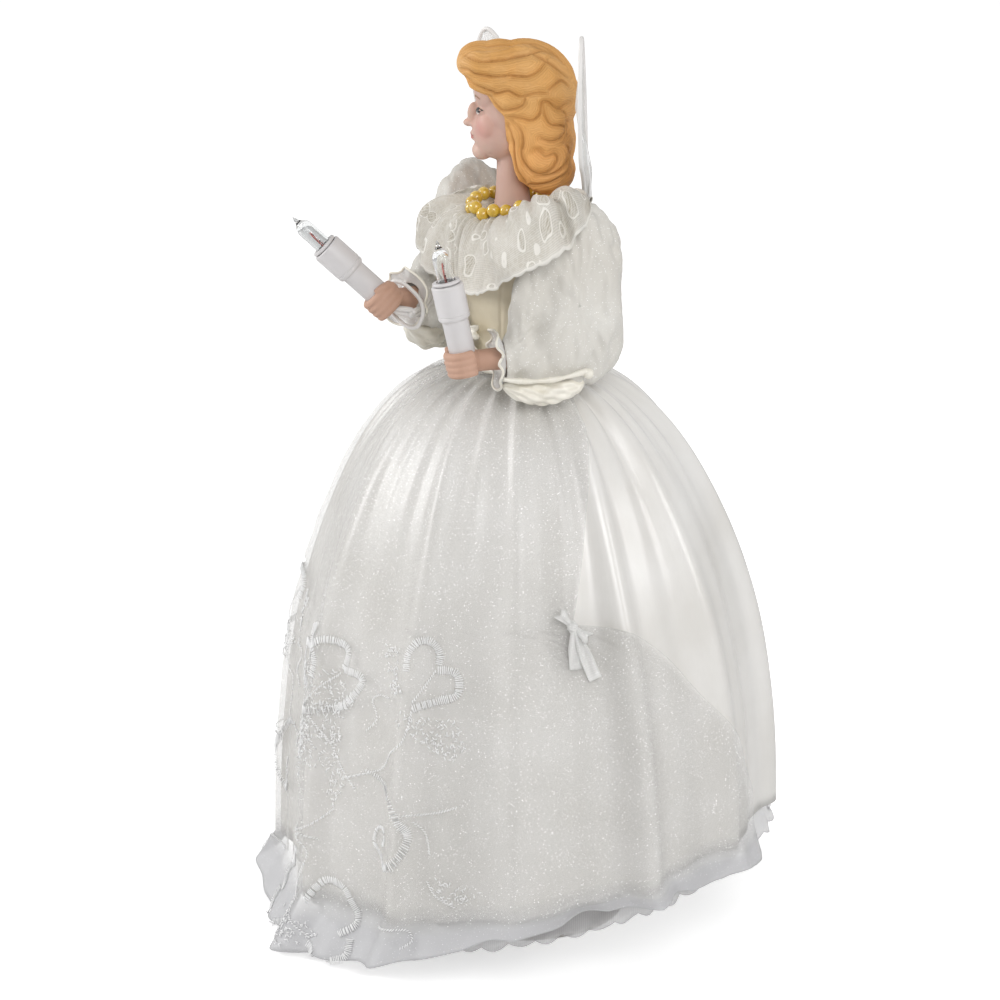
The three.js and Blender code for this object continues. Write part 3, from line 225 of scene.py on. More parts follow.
def spline(points, count, loop=False):  # smooth points through a few given ones
    pts = np.array(points, float)
    n = len(pts)
    out = []
    spans = n if loop else n - 1
    for s in np.linspace(0, spans, count, endpoint=not loop):
        i = min(int(s), spans - 1)
        t = s - i
        pick = (lambda k: pts[k % n]) if loop else (lambda k: pts[min(max(k, 0), n - 1)])
        a, b, c, d = pick(i - 1), pick(i), pick(i + 1), pick(i + 2)
        square, cube = 2 * a - 5 * b + 4 * c - d, 3 * b - a - 3 * c + d
        out.append(0.5 * (2 * b + (c - a) * t + square * t**2 + cube * t**3))
    return np.array(out)


# spins an outline of (radius, height) about an axis
def turned(name, outline, foot, axis, steps=64, angle=40):
    deselect()
    bpy.ops.mesh.primitive_plane_add(size=mm)
    obj = bpy.context.object
    obj.name = name
    obj.data.name = name
    bpy.ops.object.mode_set(mode="EDIT")
    bpy.ops.mesh.select_all(action="SELECT")
    bpy.ops.mesh.delete(type="VERT")
    edit = bmesh.from_edit_mesh(obj.data)
    verts = [edit.verts.new((r * mm, 0, h * mm)) for r, h in outline]
    for a, b in zip(verts, verts[1:]):
        edit.edges.new((a, b))
    bmesh.update_edit_mesh(obj.data)
    bpy.ops.mesh.select_all(action="SELECT")
    bpy.ops.mesh.spin(steps=steps, angle=2 * pi, center=(0, 0, 0), axis=(0, 0, 1))
    bpy.ops.mesh.select_all(action="SELECT")
    bpy.ops.mesh.remove_doubles(threshold=1e-6)
    bpy.ops.mesh.normals_make_consistent(inside=False)
    bpy.ops.object.mode_set(mode="OBJECT")
    obj.rotation_mode = "QUATERNION"
    obj.rotation_quaternion = turnTo(axis)
    obj.location = Vector(foot) * mm
    settle(obj)
    smooth(obj, angle)
    return obj


def dress(obj, material, body, slotName, *nodes):
    obj.data.materials.clear()
    obj.data.materials.append(material)
    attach(obj, body)
    if nodes:
        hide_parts(*nodes)
    return obj


def turnTo(axis):
    return Vector((0, 0, 1)).rotation_difference(Vector(axis))


def unit(vector):
    return np.array(vector, float) / np.linalg.norm(vector)


def unitRows(rows):
    return rows / np.maximum(np.linalg.norm(rows, axis=-1), 1e-9)[..., None]


def around(count, start=0.0):  # one row of angles for a full turn
    return np.linspace(start, start + 2 * pi, count, endpoint=False)[None, :]


def smoothStep(x, low, high):
    t = np.clip((x - low) / (high - low), 0, 1)
    return t * t * (3 - 2 * t)


# Shader nodes

def newGroup(name, outputs, **values):  # takes a place and some plain values, and gives plain values
    group = bpy.data.node_groups.new(name, "ShaderNodeTree")
    group.interface.new_socket("Vector", in_out="INPUT", socket_type="NodeSocketVector")
    for label, value in values.items():
        socket = group.interface.new_socket(label, in_out="INPUT", socket_type="NodeSocketFloat")
        socket.default_value = value
    for label in outputs:
        group.interface.new_socket(label, in_out="OUTPUT", socket_type="NodeSocketFloat")
    return group, group.nodes.new("NodeGroupInput"), group.nodes.new("NodeGroupOutput")


def put(tree, kind, settings=None, **inputs):
    node = tree.nodes.new(kind)
    for key, value in (settings or {}).items():
        setattr(node, key, value)
    for key, value in inputs.items():
        socket = node.inputs[int(key[1:])] if key[0] == "i" and key[1:].isdigit() else node.inputs[key]
        if isinstance(value, bpy.types.NodeSocket):
            tree.links.new(value, socket)
        else:
            socket.default_value = value
    return node


def calc(tree, operation, a, b=0.0, c=0.0):
    return put(tree, "ShaderNodeMath", {"operation": operation}, i0=a, i1=b, i2=c).outputs[0]


def ramp(tree, factor, low, high, fromValue=0.0, toValue=1.0):
    node = put(tree, "ShaderNodeMapRange", None, Value=factor)
    for label, value in (("From Min", low), ("From Max", high), ("To Min", fromValue), ("To Max", toValue)):
        node.inputs[label].default_value = value
    return node.outputs[0]


def blendColour(tree, factor, a, b):
    node = put(tree, "ShaderNodeMix", {"data_type": "RGBA"})
    for place, value in ((0, factor), (6, a), (7, b)):
        if isinstance(value, bpy.types.NodeSocket):
            tree.links.new(value, node.inputs[place])
        else:
            node.inputs[place].default_value = (*value, 1) if place else value
    return node.outputs[2]


def newMaterial(name, roughness, **sockets):
    material = bpy.data.materials.new(name)
    material.use_nodes = True
    tree = material.node_tree
    shader = tree.nodes["Principled BSDF"]
    shader.inputs["Roughness"].default_value = roughness
    for label, value in sockets.items():
        shader.inputs[label.replace("_", " ")].default_value = value
    places = tree.nodes.new("ShaderNodeTexCoord")
    return material, tree, shader, places


# Camera, light and floor

shot = dict(
    azimuth=62, elevation=17, distance=1.2, metresPerPixel=0.00029, centre=(0, 0, 0.132), pixel=(520, 478)
)


def makeCamera():
    az, el = radians(shot["azimuth"]), radians(shot["elevation"])
    back = Vector((sin(az) * cos(el), -cos(az) * cos(el), sin(el)))
    right = Vector((cos(az), sin(az), 0))
    up = back.cross(right)
    step = shot["metresPerPixel"]
    target = (
        Vector(shot["centre"]) - right * (shot["pixel"][0] - 500) * step
        + up * (shot["pixel"][1] - 500) * step
    )
    data = bpy.data.cameras.new("shotCamera")
    camera = addObject("shotCamera", data)
    camera.location = target + back * shot["distance"]
    camera.rotation_euler = back.to_track_quat("Z", "Y").to_euler()
    data.sensor_width = 36
    data.lens = 36 * shot["distance"] / step / 1000
    bpy.context.scene.camera = camera


studio = dict(
    lamps=[
        dict(name="rightLamp", place=(0.95, 0.85, 0.6), size=0.25, power=3),
        dict(name="leftLamp", place=(-0.75, -1.15, 0.7), size=0.4, power=11),
        dict(name="frontLamp", place=(1.35, -0.4, 1.0), size=0.8, power=11.5),
    ],
    aim=(0, 0, 0.13),
    world=0.38,
    floor=(0.9, 0.9, 0.9),
    floorGlow=0.6,
)


def lightPath(tree, kind):
    return put(tree, "ShaderNodeLightPath").outputs[kind]


def makeLight():
    for lamp in studio["lamps"]:
        data = bpy.data.lights.new(lamp["name"], "AREA")
        data.size = lamp["size"]
        data.energy = lamp["power"]
        obj = addObject(lamp["name"], data)
        obj.location = lamp["place"]
        aim = Vector(studio["aim"]) - Vector(lamp["place"])
        obj.rotation_euler = aim.to_track_quat("-Z", "Y").to_euler()
    world = bpy.data.worlds.new("studioWorld")
    bpy.context.scene.world = world
    world.use_nodes = True
    tree = world.node_tree
    tree.nodes.clear()
    seen = calc(tree, "MAXIMUM", lightPath(tree, "Is Camera Ray"), lightPath(tree, "Is Transmission Ray"))
    seen = calc(tree, "MAXIMUM", seen, lightPath(tree, "Is Glossy Ray"))
    soft = put(tree, "ShaderNodeBackground", None, Color=(1, 1, 1, 1), Strength=studio["world"])
    white = put(tree, "ShaderNodeBackground", None, Color=(1, 1, 1, 1))
    mix = put(tree, "ShaderNodeMixShader", None, i0=seen, i1=soft.outputs[0], i2=white.outputs[0])
    put(tree, "ShaderNodeOutputWorld", None, Surface=mix.outputs[0])


def makeFloor():
    deselect()
    bpy.ops.mesh.primitive_plane_add(size=14, location=(0, 0, -0.0005))
    floor = bpy.context.object
    floor.name = "studioFloor"
    paint, tree, shader, _ = newMaterial("studioFloor", 0.9, Specular_IOR_Level=0.1)
    shader.inputs["Base Color"].default_value = (*studio["floor"], 1)
    shader.inputs["Emission Color"].default_value = (1, 1, 1, 1)
    glow = calc(tree, "MULTIPLY", lightPath(tree, "Is Camera Ray"), studio["floorGlow"])
    tree.links.new(glow, shader.inputs["Emission Strength"])
    floor.data.materials.append(paint)


bpy.context.scene.view_settings.view_transform = "Standard"
makeCamera()
makeLight()
makeFloor()
print("stage: camera, lamps and floor")


# Shader groups shared by the materials

def makeWeaveGroup():  # threads across and along the cloth
    group, start, end = newGroup("threadWeave", ("Height", "Shade"), Threads=30.0, Slub=0.3)
    scaled = put(
        group, "ShaderNodeVectorMath", {"operation": "SCALE"}, i0=start.outputs["Vector"],
        Scale=start.outputs["Threads"],
    )
    axes = put(group, "ShaderNodeSeparateXYZ", None, Vector=scaled.outputs[0])
    warp = calc(group, "SINE", calc(group, "MULTIPLY", axes.outputs[0], 6.283))
    weft = calc(group, "SINE", calc(group, "MULTIPLY", axes.outputs[1], 6.283))
    height = calc(group, "ADD", calc(group, "MULTIPLY", warp, 0.25), calc(group, "MULTIPLY", weft, 0.25))
    stretched = put(
        group, "ShaderNodeVectorMath", {"operation": "MULTIPLY"}, i0=start.outputs["Vector"],
        i1=(14.0, 1.2, 1.0),
    )
    slub = put(group, "ShaderNodeTexNoise", None, Vector=stretched.outputs[0], Scale=2.2, Detail=3.0)
    shade = calc(group, "MULTIPLY", calc(group, "SUBTRACT", slub.outputs[0], 0.5), start.outputs["Slub"])
    group.links.new(calc(group, "ADD", height, shade), end.inputs["Height"])
    group.links.new(shade, end.inputs["Shade"])
    return group


def makeGlitterGroup():  # bright glitter specks scattered over cloth; the cloth materials paint them white with a faint glow as painted glints
    group, start, end = newGroup("glitterSpecks", ("Mask",), Scale=900.0, Share=0.1)
    cells = put(
        group, "ShaderNodeTexVoronoi", None, Vector=start.outputs["Vector"], Scale=start.outputs["Scale"]
    )
    pick = put(group, "ShaderNodeSeparateColor", None, Color=cells.outputs["Color"])
    chosen = calc(group, "LESS_THAN", pick.outputs[0], start.outputs["Share"])
    spot = calc(group, "LESS_THAN", cells.outputs["Distance"], 0.34)
    strength = calc(
        group, "MULTIPLY", calc(group, "MULTIPLY", chosen, spot),
        ramp(group, pick.outputs[1], 0.0, 1.0, 0.35, 1.0),
    )
    group.links.new(strength, end.inputs["Mask"])
    return group


def makeDriftGroup():  # slow change of tone, as of handling and age
    group, start, end = newGroup("toneDrift", ("Factor",), Scale=40.0)
    cloud = put(
        group, "ShaderNodeTexNoise", None, Vector=start.outputs["Vector"], Scale=start.outputs["Scale"],
        Detail=4.0,
    )
    group.links.new(ramp(group, cloud.outputs[0], 0.3, 0.7), end.inputs["Factor"])
    return group


weaveGroup = makeWeaveGroup()
glitterGroup = makeGlitterGroup()
driftGroup = makeDriftGroup()


def useGroup(tree, group, **inputs):
    return put(tree, "ShaderNodeGroup", {"node_tree": group}, **inputs)


def setBump(tree, shader, height, strength, distance=0.0002):
    bump = put(tree, "ShaderNodeBump", None, Height=height, Strength=strength, Distance=distance)
    tree.links.new(bump.outputs[0], shader.inputs["Normal"])


def clothMaterial(
    name, colours, roughness, threads, alpha=None, glitter=0.0, glow=0.25, bump=0.25, slub=0.3,
    sheen=0.25, paintedHemShade=None, specular=0.5,
):
    material, tree, shader, places = newMaterial(
        name, roughness, Sheen_Weight=sheen, Sheen_Roughness=0.4, Specular_IOR_Level=specular
    )
    cloth = places.outputs["UV"]
    drift = useGroup(tree, driftGroup, Vector=places.outputs["Object"], Scale=45.0)
    weave = useGroup(tree, weaveGroup, Vector=cloth, Threads=threads, Slub=slub)
    tone = calc(tree, "ADD", drift.outputs[0], weave.outputs["Shade"])
    colour = blendColour(tree, tone, colours[0], colours[1])
    # the glitter specks are painted white and made to glow faintly as painted glints; their roughness is
    # lowered too
    if glitter:
        specks = useGroup(tree, glitterGroup, Vector=places.outputs["Object"], Scale=2600.0, Share=glitter)
        colour = blendColour(tree, specks.outputs[0], colour, (1, 1, 1))
        tree.links.new(ramp(tree, specks.outputs[0], 0.0, 1.0, roughness, 0.12), shader.inputs["Roughness"])
        paintedGlint = blendColour(tree, specks.outputs[0], (0, 0, 0), (glow,) * 3)
        tree.links.new(paintedGlint, shader.inputs["Emission Color"])
        shader.inputs["Emission Strength"].default_value = 1.0
    tree.links.new(colour, shader.inputs["Base Color"])
    if alpha is not None:
        veil = calc(tree, "ADD", calc(tree, "MULTIPLY", weave.outputs["Height"], 0.12), alpha)
        # the loose hem is made denser and painted darker grey, as painted shade of the hanging layers
        if paintedHemShade:
            down = put(tree, "ShaderNodeSeparateXYZ", None, Vector=cloth).outputs[1]
            hemShadeShare = ramp(tree, down, paintedHemShade["start"], paintedHemShade["end"])
            veil = calc(tree, "ADD", veil, calc(tree, "MULTIPLY", hemShadeShare, paintedHemShade["cover"]))
            colour = blendColour(tree, calc(tree, "MULTIPLY", hemShadeShare, 0.8), colour, paintedHemShade["colour"])
            tree.links.new(colour, shader.inputs["Base Color"])
        if glitter:
            veil = calc(tree, "MAXIMUM", veil, calc(tree, "MULTIPLY", specks.outputs[0], 0.9))
        tree.links.new(veil, shader.inputs["Alpha"])
    setBump(tree, shader, weave.outputs["Height"], bump)
    return material


finishes = dict(
    satin=((0.70, 0.68, 0.645), (0.78, 0.765, 0.74)),
    warmSatin=((0.66, 0.58, 0.42), (0.74, 0.67, 0.52)),
    organza=((0.73, 0.72, 0.70), (0.80, 0.79, 0.775)),
    sleeve=((0.73, 0.70, 0.64), (0.81, 0.79, 0.74)),
    net=((0.62, 0.61, 0.62), (0.72, 0.71, 0.715)),
    wing=((0.78, 0.77, 0.75), (0.86, 0.86, 0.84)),
)
satinCloth = clothMaterial(
    "ivorySatin", finishes["satin"], 0.25, 34.0, bump=0.12, slub=0.4, sheen=0.05, specular=0.9
)
bodiceCloth = clothMaterial("bodiceSatin", finishes["warmSatin"], 0.34, 34.0, bump=0.2, slub=0.5, sheen=0.1)
# the organza's loose hem is painted darker grey: painted shade
sheerCloth = clothMaterial(
    "glitterOrganza", finishes["organza"], 0.5, 42.0, alpha=0.2, glitter=0.14,
    paintedHemShade=dict(start=17.6, end=18.8, cover=0.5, colour=(0.57, 0.57, 0.59)),
)
sleeveCloth = clothMaterial("sleeveOrganza", finishes["sleeve"], 0.5, 42.0, alpha=0.86, glitter=0.13)
tieCloth = clothMaterial("tieOrganza", finishes["wing"], 0.45, 42.0, alpha=0.86, glitter=0.13)
netCloth = clothMaterial("petticoatNet", finishes["net"], 0.6, 18.0, alpha=0.45, bump=0.5)
# the wing organza's glitter glows more strongly: brighter painted glints
wingCloth = clothMaterial("wingOrganza", finishes["wing"], 0.45, 40.0, alpha=0.62, glitter=0.12, glow=0.35)


def plainMaterial(name, colours, roughness, scale, bump=0.0, grain=1200.0, **sockets):
    material, tree, shader, places = newMaterial(name, roughness, **sockets)
    drift = useGroup(tree, driftGroup, Vector=places.outputs["Object"], Scale=scale)
    tree.links.new(
        blendColour(tree, drift.outputs[0], colours[0], colours[1]), shader.inputs["Base Color"]
    )
    tree.links.new(
        ramp(tree, drift.outputs[0], 0, 1, roughness * 0.9, min(1, roughness * 1.15)),
        shader.inputs["Roughness"],
    )
    if bump:
        fine = put(
            tree, "ShaderNodeTexNoise", None, Vector=places.outputs["Object"], Scale=grain, Detail=2.0
        )
        setBump(tree, shader, fine.outputs[0], bump)
    return material


threadWhite = plainMaterial(
    "embroideryThread", ((0.86, 0.86, 0.86), (0.93, 0.93, 0.93)), 0.35, 300.0, 0.2, 4000.0
)
ribbonSatin = plainMaterial(
    "ribbonSatin", ((0.78, 0.74, 0.64), (0.84, 0.81, 0.73)), 0.28, 120.0, 0.12, 2500.0
)
pearlPaint = plainMaterial(
    "creamPearl", ((0.55, 0.33, 0.02), (0.73, 0.51, 0.06)), 0.2, 260.0, Coat_Weight=0.8,
    Coat_Roughness=0.06,
)
socketPlastic = plainMaterial("socketPlastic", ((0.62, 0.60, 0.60), (0.66, 0.64, 0.64)), 0.42, 90.0, 0.08)
wireWhite = plainMaterial("wireInsulation", ((0.74, 0.72, 0.70), (0.79, 0.77, 0.75)), 0.4, 90.0, 0.05)
cardPaint = plainMaterial("coneCard", ((0.68, 0.65, 0.60), (0.75, 0.73, 0.69)), 0.85, 60.0, 0.5, 700.0)
muslin = plainMaterial("stuffedMuslin", ((0.72, 0.68, 0.60), (0.79, 0.75, 0.68)), 0.9, 80.0, 0.4, 1800.0)
steelWire = plainMaterial("craftWire", ((0.55, 0.54, 0.52), (0.66, 0.65, 0.62)), 0.35, 200.0, Metallic=0.9)
leadWire = plainMaterial("lampLead", ((0.25, 0.05, 0.04), (0.4, 0.1, 0.08)), 0.35, 900.0, Metallic=0.6)
leadTip = plainMaterial("lampLeadTip", ((0.03, 0.01, 0.01), (0.08, 0.02, 0.02)), 0.5, 900.0)
glassClear = plainMaterial(
    "lampGlass", ((0.95, 0.97, 0.97), (1, 1, 1)), 0.02, 90.0, Transmission_Weight=1.0, IOR=1.45
)
handSkin = plainMaterial("handSkin", ((0.49, 0.29, 0.205), (0.55, 0.34, 0.25)), 0.6, 130.0, 0.06, 3000.0)
print("stage: materials")

# Gown: one folded bell shared by the three layers, in millimetres

gown = dict(
    waist=165.5, neck=13.8, radius=70.0, hemFront=16.0, hemBack=36.0, sideLift=3.0, power=0.95,
    folds=12, foldOut=3.8, foldIn=2.5, lowFold=0.5, lean=0.5, trail=3.0,
)
panel = dict(waistAngle=radians(12), knotAngle=radians(-16), hemAngle=radians(40), knotLatitude=radians(56))
overskirtCut = dict(seam=0.4, stand=1.0, cloth=0.25, hemFront=1.2, hemSide=26.0, flare=8.0, clear=0.3)


def hemHeight(angle):
    slope = (
        (gown["hemFront"] + gown["hemBack"]) / 2
        + (gown["hemBack"] - gown["hemFront"]) / 2 * np.sin(angle)
    )
    return slope + gown["sideLift"] * np.cos(angle) ** 2


def foldWave(angle, latitude):  # soft tubes with narrow hollows, wandering a little on the way down
    wander = 0.5 * np.sin(2.2 * latitude + 3 * angle)
    x = gown["folds"] * angle + 0.8 * np.sin(2 * angle) + wander
    wave = (
        (np.cos(x) + 0.34 * np.cos(2 * x + 0.7) + 0.14 * np.cos(3 * x + 1.4))
        * (0.78 + 0.22 * np.cos(5 * angle))
    )
    wave = wave + 0.2 * np.cos(29 * angle + 1.7 * np.sin(3 * angle) + 2 * wander)
    return np.where(wave > 0, gown["foldOut"] / 1.5 * wave, gown["foldIn"] / 1.5 * wave)


def gathers(angle, latitude):  # fine pleats that fade below the waist
    fine = (
        0.62 * np.cos(31 * angle + 2.2 * np.sin(3 * angle))
        + 0.3 * np.cos(57 * angle + 1.3 * np.sin(4 * angle))
    )
    return fine * np.exp(-((latitude / 0.6) ** 2)) * np.sin(np.minimum(latitude * 5, pi / 2))


def bell(angle, latitude, offset, foldShare=1.0):
    swell = gown["radius"] - gown["neck"]
    drop = gown["waist"] - hemHeight(angle)
    s = np.sin(latitude)
    c = np.maximum(np.cos(latitude), 1e-6)
    outward = gown["power"] * drop * c ** (gown["power"] - 1) * s
    upward = swell * c
    size = np.hypot(outward, upward)
    depth = s**0.8 + gown["lowFold"] * smoothStep(latitude, 0.7, 1.2)
    lift = offset + foldShare * (foldWave(angle, latitude) * depth + gathers(angle, latitude))
    radius = gown["neck"] + swell * s + lift * outward / size
    z = gown["waist"] - drop * (1 - c ** gown["power"]) + lift * upward / size
    shift = gown["trail"] * s**2 - gown["lean"] * np.sin(2 * latitude)
    return np.stack([radius * np.cos(angle), radius * np.sin(angle) + shift, z], -1)


def makeSatinSkirt():
    columns, rows = 320, 72
    angle = around(columns)
    latitude = np.linspace(0, pi / 2, rows)[:, None]
    obj = clothGrid("satinSkirt", bell(angle + 0 * latitude, latitude + 0 * angle, 0.0), True, 440, 190)
    thicken(obj, 0.35)
    dress(obj, satinCloth, "gown", "satin", "satin_skirt")
    return obj


def makePetticoat():
    cut = dict(drop=9.5, flare=8.0, offset=-4.2, scallops=54, scallopDepth=1.6)
    columns, rows, skirtRows = 432, 40, 12
    angle = around(columns)
    latitude = np.linspace(0.12, pi / 2, rows)[:, None]
    upper = bell(angle + 0 * latitude, latitude + 0 * angle, cut["offset"], 0.0)
    last = upper[-1]
    turn = np.arctan2(last[:, 1], last[:, 0])
    flare = cut["flare"] * smoothStep(np.sin(turn), 0.6, 1.0)
    share = np.linspace(0, 1, skirtRows + 1)[1:, None]
    wave = 0.7 * np.sin(36 * angle[0] + 2 * np.sin(5 * angle[0]))
    reach = 1 + (flare[None, :] * share + wave[None, :] * share) / np.hypot(last[:, 0], last[:, 1])[None, :]
    scallop = cut["scallopDepth"] * np.abs(np.sin(cut["scallops"] / 2 * angle[0]))
    z = last[None, :, 2] - share * cut["drop"] - np.where(share > 0.95, 1, 0) * scallop[None, :]
    lower = np.stack([last[None, :, 0] * reach, last[None, :, 1] * reach, z], -1)
    obj = clothGrid("netPetticoat", np.concatenate([upper, lower]), True, 410, 185)
    thicken(obj, 0.25)
    dress(obj, netCloth, "gown", "net", "net_petticoat")


def panelEdge(latitude):
    above = (
        panel["waistAngle"]
        + (panel["knotAngle"] - panel["waistAngle"]) * latitude / panel["knotLatitude"]
    )
    below = np.clip((latitude - panel["knotLatitude"]) / (pi / 2 - panel["knotLatitude"]), 0, 1)
    lower = panel["knotAngle"] + (panel["hemAngle"] - panel["knotAngle"]) * below**0.5
    return np.where(latitude <= panel["knotLatitude"], above, lower)


# below runs from 0 at the bell's rim to 1 at the cloth's own hem
def overskirtPoint(angle, latitude, below=0.0):
    stand = overskirtCut["seam"] + overskirtCut["stand"] * np.sin(latitude) + overskirtCut["clear"]
    point = bell(angle, latitude, stand)
    ahead = np.maximum(0, -np.sin(angle)) ** 2
    radius = np.hypot(point[..., 0], point[..., 1])
    wave = 1.1 * np.sin(23 * angle + 1.5 * np.sin(4 * angle)) * (0.3 + 0.7 * ahead)
    reach = 1 + below * (overskirtCut["flare"] * (0.35 + 0.65 * ahead) + wave) / radius
    hem = overskirtCut["hemSide"] + (overskirtCut["hemFront"] - overskirtCut["hemSide"]) * ahead
    hem = hem + 1.6 * np.maximum(0, np.sin(17 * angle)) * (1 - 0.5 * ahead)
    z = point[..., 2] + below * (hem - point[..., 2])
    return np.stack([point[..., 0] * reach, point[..., 1] * reach, z], -1)


def knotFolds(points):  # creases that run into each swag knot
    out = points.copy()
    for knot in knotPlaces:
        away = points - knot
        distance = np.linalg.norm(away, axis=-1)
        flat = np.arctan2(away[..., 2], away @ np.array([-knot[1], knot[0], 0]) / np.hypot(knot[0], knot[1]))
        crease = (
            np.cos(15 * flat + 2 * np.sin(3 * flat)) * np.exp(-distance / 22) * smoothStep(distance, 1, 6)
        )
        normal = unitRows(points * (1, 1, 0.25))
        out += normal * (1.1 * crease + 1.3 * np.exp(-distance / 22))[..., None]
    return out


knotPlaces = [
    bell(np.array(a), np.array(panel["knotLatitude"]), 1.6)
    for a in (panel["knotAngle"], pi - panel["knotAngle"])
]


def makeOverskirt():
    columns, rows, skirtRows = 300, 80, 10
    share = np.linspace(0, 1, columns)[None, :]
    latitude = np.linspace(0.0, pi / 2, rows)[:, None]
    edge = panelEdge(latitude)
    angle = edge + (-pi - 2 * edge) * share
    upper = overskirtPoint(angle, latitude + 0 * share)
    below = np.linspace(0, 1, skirtRows + 1)[1:, None]
    lower = overskirtPoint(
        angle[-1:] + 0 * below, np.full_like(below + 0 * share, pi / 2), below + 0 * share
    )
    obj = clothGrid("organzaOverskirt", knotFolds(np.concatenate([upper, lower])), False, 300, 205)
    thicken(obj, overskirtCut["cloth"], 0.0)
    return dress(obj, sheerCloth, "gown", "organza", "organza_overskirt")


satinSkirt = makeSatinSkirt()
makePetticoat()
overskirt = makeOverskirt()
print("stage: gown layers")

# Head: skin from rounded forms, hair from rounded masses parted into locks, both turned with the head

head = dict(turn=radians(-28), centre=Vector((0, -1, 243)))


def headToWorld(points):
    turn = Matrix.Rotation(head["turn"], 3, "Z")
    return [turn @ Vector(p) + head["centre"] for p in points]


def placeHead(obj):
    obj.matrix_world = Matrix.Translation(head["centre"] * mm) @ Matrix.Rotation(head["turn"], 4, "Z")
    settle(obj)


def twins(half, place):  # one form on each side of the head
    return [(half, place), (half, (-place[0], *place[1:]))]


skinForms = [  # half sizes, then the place from the head's centre
    ((10.9, 12.0, 14.6), (0, 0.6, 0.6)),
    ((9.0, 5.0, 8.0), (0, -7.4, 4.6)),
    ((8.4, 8.4, 8.6), (0, -4.4, -8.0)),
    ((3.4, 3.0, 2.8), (0, -9.9, -13.9)),
    *twins((4.4, 3.4, 4.6), (3.9, -8.0, -6.0)),
    ((1.15, 2.0, 3.3), (0, -12.2, -3.3)),
    ((1.45, 1.7, 1.2), (0, -13.7, -5.9)),
    *twins((0.9, 1.1, 0.85), (1.35, -12.5, -6.2)),
    ((2.4, 1.25, 0.75), (0, -12.15, -8.9)),
    ((2.0, 1.2, 0.8), (0, -12.0, -10.2)),
    *twins((1.9, 1.3, 1.25), (4.2, -10.4, -1.9)),
]
plate = dict(half=(17.2, 14.0, 14.3), z=199.0)


def makeSkin():
    parts = [egg(half, place) for half, place in skinForms]
    face = joinAll("bustSkin", parts)
    placeHead(face)
    neck = tubePiece(
        "neck",
        spline([(0, -1.6, 206), (0, -2.5, 214), (0, -2.2, 222), (0, -1.0, 232)], 16),
        spline([(8.6,), (5.3,), (4.9,), (6.0,)], 16)[:, 0],
        24,
    )
    shoulders = egg(plate["half"], (0, 0, plate["z"]), None, 48, 28)
    cutAway(shoulders, (0, 0, plate["z"] + 0.3), (0, 0, -1), True)
    skin = joinAll("bustSkin", [face, neck, shoulders])
    remesh(skin, 0.33, 9)
    return skin


def paintSkin(skin):  # soft blush on the cheeks, kept in an attribute
    layer = skin.data.attributes.new("blush", "FLOAT", "POINT")
    back = Matrix.Rotation(-head["turn"], 3, "Z")
    values = []
    for vert in skin.data.vertices:
        p = back @ (vert.co / mm - head["centre"])
        cheeks = sum(
            exp(-((p.x - side * 5.6) ** 2 + (p.y + 9.6) ** 2 + (p.z + 6.6) ** 2) / 10) for side in (-1, 1)
        )
        values.append(min(1.0, cheeks))
    layer.data.foreach_set("value", values)


def skinMaterial():
    tones = dict(low=(0.55, 0.36, 0.30), high=(0.61, 0.42, 0.35), blush=(0.60, 0.23, 0.20))
    material, tree, shader, places = newMaterial("bisqueSkin", 0.55, Subsurface_Weight=0.05)
    drift = useGroup(tree, driftGroup, Vector=places.outputs["Object"], Scale=120.0)
    colour = blendColour(tree, drift.outputs[0], tones["low"], tones["high"])
    blush = put(tree, "ShaderNodeAttribute", {"attribute_name": "blush"})
    colour = blendColour(
        tree, calc(tree, "MULTIPLY", blush.outputs["Fac"], 0.55), colour, tones["blush"]
    )
    tree.links.new(colour, shader.inputs["Base Color"])
    fine = put(tree, "ShaderNodeTexNoise", None, Vector=places.outputs["Object"], Scale=3000.0)
    setBump(tree, shader, fine.outputs[0], 0.05)
    return material


